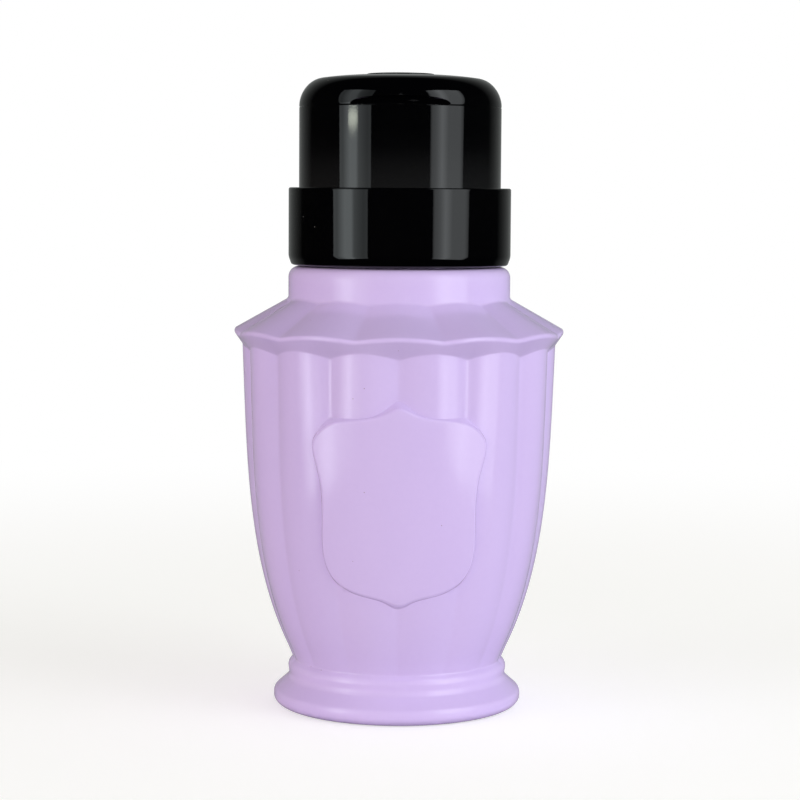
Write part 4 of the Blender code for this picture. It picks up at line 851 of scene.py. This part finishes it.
class PUMP_OT_lid(bpy.types.Operator):
    """Model the flip lid with its thumb scoop and knuckle, the foam disc in it and the hinge pin"""

    bl_idname = "pump.lid"
    bl_label = "Flip lid"

    def outline(self, soft):
        outer, low, high = HOUSING_RADIUS, LID_FOOT, 142.4 * MM
        corner_foot, corner_top = (outer, low + 0.3 * MM), (outer - 4.6 * MM, high - 0.9 * MM)
        corner = curve_between(corner_foot, corner_top, ((0.01, 0.46), (0.44, 0.91)), 22)

        def crown(radius):
            return high - 0.9 * MM * (radius / corner_top[0]) ** 3

        roof, plug, bore = high - 2.9 * MM, 19.6 * MM, 18.4 * MM
        plug_foot = HOUSING_TOP - 1.6 * MM
        inside = [
            (0.0, roof),
            (bore, roof, 0.4 * MM),
            (bore, plug_foot, soft),
            (plug, plug_foot, soft),
            (plug, roof - 0.7 * MM),
            (outer - 2.0 * MM, roof - 1.4 * MM, 0.3 * MM),
            (outer - 2.0 * MM, low, soft),
            (outer, low, soft),
            corner_foot,
        ]
        rows = rounded(inside, 5, closed=False) + corner[1:]
        for radius in (17.0, 15.5, 14.0, 12.0, 10.0, 8.6):
            rows.append((radius * MM, crown(radius * MM)))
        ring_top = crown(7.5 * MM) + 0.3 * MM
        edge = 0.12 * MM
        ring = [
            (8.2 * MM, crown(8.2 * MM)),
            (7.5 * MM, crown(7.5 * MM), edge),
            (7.5 * MM, ring_top, edge),
            (6.3 * MM, ring_top, edge),
            (6.3 * MM, crown(6.3 * MM), edge),
            (5.0 * MM, crown(5.0 * MM)),
        ]
        rows += rounded(ring, 4, closed=False)
        return rows + [(3.0 * MM, crown(3.0 * MM)), (1.2 * MM, high), (0.0, high)]

    def scoop(self, sizes):
        """The thumb scoop's cutter: a ball squared off along its arch and bent round the lid's front."""
        outer, stand_off = HOUSING_RADIUS, 0.5 * MM
        bpy.ops.object.select_all(action="DESELECT")
        bpy.ops.mesh.primitive_uv_sphere_add(segments=96, ring_count=64, radius=1.0)
        cutter = named("thumb_scoop")
        power = 2.4
        for vert in cutter.data.vertices:
            x, y, z = vert.co
            flat = math.hypot(x, z)
            square = (abs(x) ** power + abs(z) ** power) ** (1 / power) if flat else 1.0
            grow = flat / square if flat else 1.0
            x, z = x * grow * sizes.scoop_half_width, z * grow * sizes.scoop_height
            turn = x / outer
            radius = outer + stand_off + y * (sizes.scoop_depth + stand_off)
            vert.co = (radius * math.sin(turn), -radius * math.cos(turn), LID_FOOT + z)
        with editing(cutter):
            bpy.ops.mesh.normals_make_consistent(inside=False)
        return cutter

    def execute(self, context):
        sizes = context.scene.head_sizes
        lid = lathe("flip_lid_gloss", self.outline(sizes.edge_round), sizes.columns, closed=False)
        join_solid(lid, self.scoop(sizes), "DIFFERENCE")
        clear = KNUCKLE_RADIUS + 0.3 * MM
        low, high = HOUSING_KNUCKLE_LOW - 0.3 * MM, HOUSING_KNUCKLE_HIGH + 0.3 * MM
        join_solid(lid, rod("notch_left", clear, -high, -low), "DIFFERENCE")
        join_solid(lid, rod("notch_right", clear, low, high), "DIFFERENCE")
        root = 21.5 * MM
        outline = knuckle((90, -180), [(root, LID_FOOT + 0.3 * MM), (root, HINGE_Z + KNUCKLE_RADIUS)])
        part = slab("lid_knuckle", outline, -LID_KNUCKLE_HALF, LID_KNUCKLE_HALF)
        apply(part, "BEVEL", width=0.18 * MM, segments=3, limit_method="ANGLE", angle_limit=math.radians(50))
        join_solid(lid, part, "UNION")
        span = LID_KNUCKLE_HALF + MM
        join_solid(lid, rod("lid_pin_bore", PIN_RADIUS + 0.3 * MM, -span, span), "DIFFERENCE")
        set_shading(lid)
        dress(lid, "lid", "black_plastic", "gloss_black", "flip_lid")
        radius, low, high = reach("lid_liner"), foot("lid_liner"), top("lid_liner")
        section = [(0.0, low), (radius, low, 0.25 * MM), (radius, high, 0.25 * MM), (0.0, high)]
        liner = lathe("foam_disc", rounded(section, 5, closed=False), 128, closed=False)
        set_shading(liner)
        dress(liner, "lid", "liner_foam", "liner_foam", "lid_liner")
        pin = rod("hinge_pin_steel", PIN_RADIUS, -HOUSING_KNUCKLE_HIGH, HOUSING_KNUCKLE_HIGH, 0.12 * MM)
        set_shading(pin)
        dress(pin, "pump_unit", "steel", "drawn_steel", "hinge_pin")
        return {"FINISHED"}


class PUMP_OT_dish(bpy.types.Operator):
    """Model the press dish and the slotted nozzle in its middle"""

    bl_idname = "pump.dish"
    bl_label = "Press dish"

    def execute(self, context):
        outer, rim_z = reach("press_dish"), top("press_dish")
        # Pressed right down, the skirt stops short of the well's floor
        skirt_z = foot("pump_well") + (1.5 + 0.7 + 6.0) * MM
        wall, edge_z = 1.0 * MM, rim_z - 1.8 * MM
        centre_z, soft = edge_z - 1.2 * MM, context.scene.head_sizes.edge_round
        seat, seat_bore, roof = 4.4 * MM, 3.4 * MM, foot("nozzle_insert") - 0.3 * MM
        seat_top = roof + 2.6 * MM
        socket, hub, hub_foot = 3.3 * MM, 5.2 * MM, centre_z - 1.3 * MM - 5.2 * MM
        passage, under = 1.5 * MM, edge_z - 1.3 * MM
        corners = [
            (outer, skirt_z, 0.15 * MM),
            (outer, rim_z, 0.4 * MM),
            (outer - wall, rim_z, 0.4 * MM),
            (outer - 2 * wall, edge_z, 1.2 * MM),
            (12.0 * MM, edge_z - 0.65 * MM),
            (seat + 2.0 * MM, centre_z + 0.05 * MM),
            (seat, centre_z, 0.4 * MM),
            (seat, seat_top, soft),
            (seat_bore, seat_top, soft),
            (seat_bore, roof),
            (passage, roof, 0.1 * MM),
            (passage, centre_z - 1.3 * MM),
            (socket, centre_z - 1.3 * MM),
            (socket, hub_foot, 0.15 * MM),
            (hub, hub_foot, 0.15 * MM),
            (hub, centre_z - 1.3 * MM, 0.3 * MM),
            (outer - 2.1 * MM, under),
            (outer - 1.1 * MM, under - 1.0 * MM, 0.3 * MM),
            (outer - 1.1 * MM, skirt_z, 0.15 * MM),
        ]
        dish = lathe("dish_gloss", rounded(corners, 6), 216)
        set_shading(dish)
        dress(dish, "plunger", "black_plastic", "gloss_black", "press_dish")
        low, high, radius = foot("nozzle_insert"), top("nozzle_insert"), reach("nozzle_insert")
        corners = [
            (radius, low, 0.15 * MM),
            (radius, high, 0.35 * MM),
            (0.8 * MM, high, 0.2 * MM),
            (0.8 * MM, low, 0.1 * MM),
        ]
        nozzle = lathe("nozzle_natural", rounded(corners, 6), 96)
        for across in ((2 * radius, 0.35 * MM), (0.35 * MM, 2 * radius)):
            bpy.ops.object.select_all(action="DESELECT")
            bpy.ops.mesh.primitive_cube_add(size=2.0, location=(0, 0, high), scale=(*across, 0.7 * MM))
            slot = named("nozzle_slot")
            bpy.ops.object.transform_apply(location=True, rotation=True, scale=True)
            join_solid(nozzle, slot, "DIFFERENCE")
        set_shading(nozzle)
        dress(nozzle, "plunger", "natural_plastic", "natural_plastic", "nozzle_insert")
        return {"FINISHED"}


class PUMP_OT_spring(bpy.types.Operator):
    """Model the return spring with its closed end coils, which the dish squeezes"""

    bl_idname = "pump.spring"
    bl_label = "Return spring"

    def execute(self, context):
        wire, coils, closed = 0.4 * MM, 7, 0.85 * MM
        radius, low = reach("return_spring") - wire, foot("return_spring") + wire
        rise = top("return_spring") - wire - low
        pitch = rise / coils
        bpy.ops.object.select_all(action="DESELECT")
        bpy.ops.mesh.primitive_circle_add(
            vertices=12, radius=wire, location=(0, -radius, low), rotation=(0, math.pi / 2, 0)
        )
        spring = named("return_spring_steel")
        bpy.ops.object.transform_apply(location=True, rotation=True, scale=True)
        wind(spring, coils, pitch, 40)
        for vert in spring.data.vertices:
            along = turns_up(vert.co, low, pitch)
            if along < 1:
                height = closed * along
            elif along > coils - 1:
                height = rise - closed * (coils - along)
            else:
                height = closed + (rise - 2 * closed) * (along - 1) / (coils - 2)
            vert.co.z += height - pitch * along
        set_shading(spring)
        dress(spring, "pump_unit", "steel", "drawn_steel", "return_spring")
        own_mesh(spring)
        return {"FINISHED"}


class PUMP_OT_works(bpy.types.Operator):
    """Give the pieces of the works inside, which keep their CAD shape, their finishes"""

    bl_idname = "pump.works"
    bl_label = "Works inside"

    def execute(self, context):
        finishes = {
            "natural_plastic": ("pump_cylinder", "ball_cage", "stem_guide", "piston_stem"),
            "tube_plastic": ("dip_tube",),
            "seal_rubber": ("neck_gasket", "stem_wiper", "piston_seal"),
            "drawn_steel": ("inlet_ball", "outlet_ball"),
        }
        for finish, nodes in finishes.items():
            for node in nodes:
                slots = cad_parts[node].material_slots
                if not slots:
                    raise RuntimeError(f"{node} has no material slot")
                for slot in slots:
                    slot.material = bpy.data.materials[finish]
        return {"FINISHED"}


# The softboxes lean over the bottle and their tops are splayed apart, about points just over the lid's height
PIVOT_Z = 0.15
LEAN = math.radians(15.0)
SPLAY = math.radians(8.0)
# How bright each softbox is at shares of its width
LEFT_ACROSS = (
    (0.0, 0.43), (0.12, 0.41), (0.36, 1.0), (0.54, 1.0), (0.62, 0.5), (0.72, 0.38), (0.88, 0.26), (1.0, 0.3),
)
RIGHT_ACROSS = (
    (0.0, 0.2), (0.06, 0.45), (0.12, 0.5), (0.2, 0.62), (0.34, 1.0), (0.42, 0.85), (0.52, 0.6), (0.88, 0.56),
    (1.0, 0.25),
)


class PUMP_OT_stage(bpy.types.Operator):
    """Set up the pale floor, the two softboxes, the surround and the camera"""

    bl_idname = "pump.stage"
    bl_label = "Stage"

    def surround(self, scene, strength):
        """White to the camera, soft on the satin, cooler from the right, and mostly dark in reflections."""
        world = bpy.data.worlds.new("studio_surround")
        scene.world = world
        world.use_nodes = True
        tree = world.node_tree
        tree.nodes.clear()
        path = add_node(tree, "ShaderNodeLightPath")
        facing = add_node(tree, "ShaderNodeTexCoord")["Generated"]
        split = add_node(tree, "ShaderNodeSeparateXYZ", values={0: facing})
        level = add_node(tree, "ShaderNodeMath", operation="ABSOLUTE", values={0: split["Z"]})
        by_height = add_node(
            tree,
            "ShaderNodeMapRange",
            values={"Value": level[0], "From Max": 0.52, "To Min": 1.4 * strength, "To Max": 0.03 * strength},
        )
        from_left = add_node(
            tree, "ShaderNodeMapRange", values={"Value": split["X"], "From Min": -0.9, "From Max": 1.0}
        )
        warm, cool = (0.92, 0.81, 0.70, 1.0), (1.13, 1.22, 1.10, 1.0)
        side_tone = add_node(tree, "ShaderNodeMix", data_type="RGBA", values={0: from_left[0], 6: warm, 7: cool})
        behind = add_node(
            tree,
            "ShaderNodeMapRange",
            values={"Value": split["Y"], "From Min": 0.5, "From Max": 1.0, "To Min": 0.004, "To Max": 0.27},
        )
        soft = add_node(tree, "ShaderNodeBackground", values={"Color": side_tone[2], "Strength": by_height[0]})
        gloss = add_node(
            tree, "ShaderNodeBackground", values={"Color": (0.95, 1.0, 0.98, 1), "Strength": behind[0]}
        )
        white = add_node(tree, "ShaderNodeBackground", values={"Color": (1, 1, 1, 1), "Strength": 1.0})
        lit = add_node(tree, "ShaderNodeMixShader", values={0: path["Is Glossy Ray"], 1: soft[0], 2: gloss[0]})
        seen = add_node(tree, "ShaderNodeMixShader", values={0: path["Is Camera Ray"], 1: lit[0], 2: white[0]})
        add_node(tree, "ShaderNodeOutputWorld", values={"Surface": seen[0]})

    def softbox(self, name, azimuth, distance, middle, size, power, tint, across=(), fade=1.0):
        """An upright softbox that faces the bottle, azimuth degrees round from the camera's side.

        across lists how bright it is from its left edge to its right one, as seen in the picture, and
        its upper part is dimmed by fade.
        """
        light = bpy.data.lights.new(name, "AREA")
        light.shape = "RECTANGLE" if across else "ELLIPSE"
        light.size, light.size_y = size
        light.energy = power
        light.color = tint
        box = bpy.data.objects.new(name, light)
        bpy.context.scene.collection.objects.link(box)
        lean = LEAN if across else 0.0
        splay = math.copysign(SPLAY, -azimuth) if across else 0.0
        light.size_y /= math.cos(lean)
        stand = Matrix.Translation((0, 0, PIVOT_Z)) @ Matrix.Rotation(math.radians(azimuth), 4, "Z")
        hinge = Matrix.Translation((0, -distance, 0)) @ Matrix.Rotation(math.pi / 2 - lean, 4, "X")
        up = Matrix.Translation((0, (middle - PIVOT_Z) / math.cos(lean), 0))
        box.matrix_world = stand @ hinge @ Matrix.Rotation(splay, 4, "Z") @ up
        box.visible_camera = False
        if across:
            light.use_nodes = True
            tree = light.node_tree
            place = add_node(tree, "ShaderNodeNewGeometry")["Parametric"]
            split = add_node(tree, "ShaderNodeSeparateXYZ", values={0: place})
            upward = add_node(
                tree,
                "ShaderNodeMapRange",
                values={"Value": split["Y"], "From Min": 0.352, "From Max": 0.434, "To Min": 1.0, "To Max": fade},
            )
            ramp = add_node(tree, "ShaderNodeValToRGB", values={"Fac": split["X"]})
            stops = ramp["Color"].node.color_ramp.elements
            while len(stops) < len(across):
                stops.new(0.5)
            for stop, (where, level) in zip(stops, across):
                stop.position = where
                stop.color = (level, level, level, 1.0)
            dimmed = add_node(
                tree, "ShaderNodeMath", operation="MULTIPLY", values={0: ramp["Color"], 1: upward[0]}
            )
            feed(tree, tree.nodes["Emission"], {"Strength": dimmed[0]})

    def pale_floor(self, stage):
        """A round floor that takes the bottle's soft shadow and fades into the white behind."""
        bpy.ops.object.select_all(action="DESELECT")
        bpy.ops.mesh.primitive_circle_add(vertices=96, radius=6.0, fill_type="TRIFAN")
        floor = named("pale_floor")
        finish = bpy.data.materials.new("pale_floor")
        finish.use_nodes = True
        tree = finish.node_tree
        place = add_node(tree, "ShaderNodeTexCoord")["Object"]
        away = add_node(tree, "ShaderNodeVectorMath", operation="LENGTH", values={0: place})
        fade = add_node(
            tree,
            "ShaderNodeMapRange",
            interpolation_type="SMOOTHSTEP",
            values={"Value": away["Value"], "From Min": 0.05, "From Max": 0.5, "To Min": 0.0, "To Max": 1.0},
        )
        lift = add_node(
            tree, "ShaderNodeMapRange", values={"Value": fade[0], "To Min": stage.floor_lift, "To Max": 1.0}
        )
        path = add_node(tree, "ShaderNodeLightPath")
        glow = add_node(
            tree, "ShaderNodeMath", operation="MULTIPLY", values={0: lift[0], 1: path["Is Camera Ray"]}
        )
        near, far = (*stage.floor, 1.0), (0, 0, 0, 1)
        paint = add_node(tree, "ShaderNodeMix", data_type="RGBA", values={0: fade[0], 6: near, 7: far})
        plain = {"Emission Color": (1, 1, 1, 1), "Roughness": 0.8, "Specular IOR Level": 0.0}
        varying = {"Base Color": paint[2], "Emission Strength": glow[0]}
        feed(tree, tree.nodes["Principled BSDF"], {**plain, **varying})
        floor.data.materials.append(finish)
        floor.visible_glossy = False

    def execute(self, context):
        stage, scene = context.scene.stage_settings, context.scene
        scene.view_settings.view_transform = "Standard"
        self.surround(scene, stage.surround)
        self.softbox(
            "softbox_left", -52.0, 0.70, 0.301, (0.49, 0.896), stage.left_power, (0.90, 0.98, 1.0), LEFT_ACROSS, 0.45
        )
        self.softbox(
            "softbox_right", 54.3, 0.70, 0.301, (0.52, 0.896), stage.right_power, (0.92, 0.97, 1.0), RIGHT_ACROSS
        )
        self.softbox("lamp_left", -54.0, 0.66, 0.1512, (0.145, 0.0085), 0.028, (0.94, 1.0, 0.82))
        self.pale_floor(stage)
        data = bpy.data.cameras.new("photo_camera")
        data.sensor_width, data.lens = 36.0, stage.lens
        data.clip_start, data.clip_end = 0.01, 20.0
        camera = bpy.data.objects.new("photo_camera", data)
        scene.collection.objects.link(camera)
        place = Matrix.Translation((0.33 * MM, -stage.camera_distance, stage.camera_height))
        tilt = Matrix.Rotation(math.pi / 2 - stage.camera_tilt, 4, "X")
        camera.matrix_world = place @ tilt @ Matrix.Rotation(stage.camera_roll, 4, "Z")
        scene.camera = camera
        return {"FINISHED"}


STEPS = (
    PUMP_OT_finishes,
    PUMP_OT_stage,
    PUMP_OT_bottle,
    PUMP_OT_collar,
    PUMP_OT_housing,
    PUMP_OT_lid,
    PUMP_OT_dish,
    PUMP_OT_spring,
    PUMP_OT_works,
)


class PUMP_PT_panel(bpy.types.Panel):
    """Lists the steps and the sizes"""

    bl_idname = "PUMP_PT_panel"
    bl_label = "Pump Bottle"
    bl_space_type = "VIEW_3D"
    bl_region_type = "UI"
    bl_category = "Pump Bottle"

    def draw(self, context):
        for step in STEPS:
            self.layout.operator(step.bl_idname)
        for name, group in GROUPS.items():
            box = self.layout.box()
            for key in group.__annotations__:
                box.prop(getattr(context.scene, name), key)


def register():
    for group in GROUPS.values():
        bpy.utils.register_class(group)
    for name, group in GROUPS.items():
        setattr(bpy.types.Scene, name, PointerProperty(type=group))
    for step in STEPS:
        bpy.utils.register_class(step)
    bpy.utils.register_class(PUMP_PT_panel)


def unregister():
    bpy.utils.unregister_class(PUMP_PT_panel)
    for step in reversed(STEPS):
        bpy.utils.unregister_class(step)
    for name, group in reversed(GROUPS.items()):
        delattr(bpy.types.Scene, name)
        bpy.utils.unregister_class(group)


def main():
    register()
    for step in STEPS:
        group, name = step.bl_idname.split(".")
        getattr(getattr(bpy.ops, group), name)()


if __name__ == "__main__":
    main()
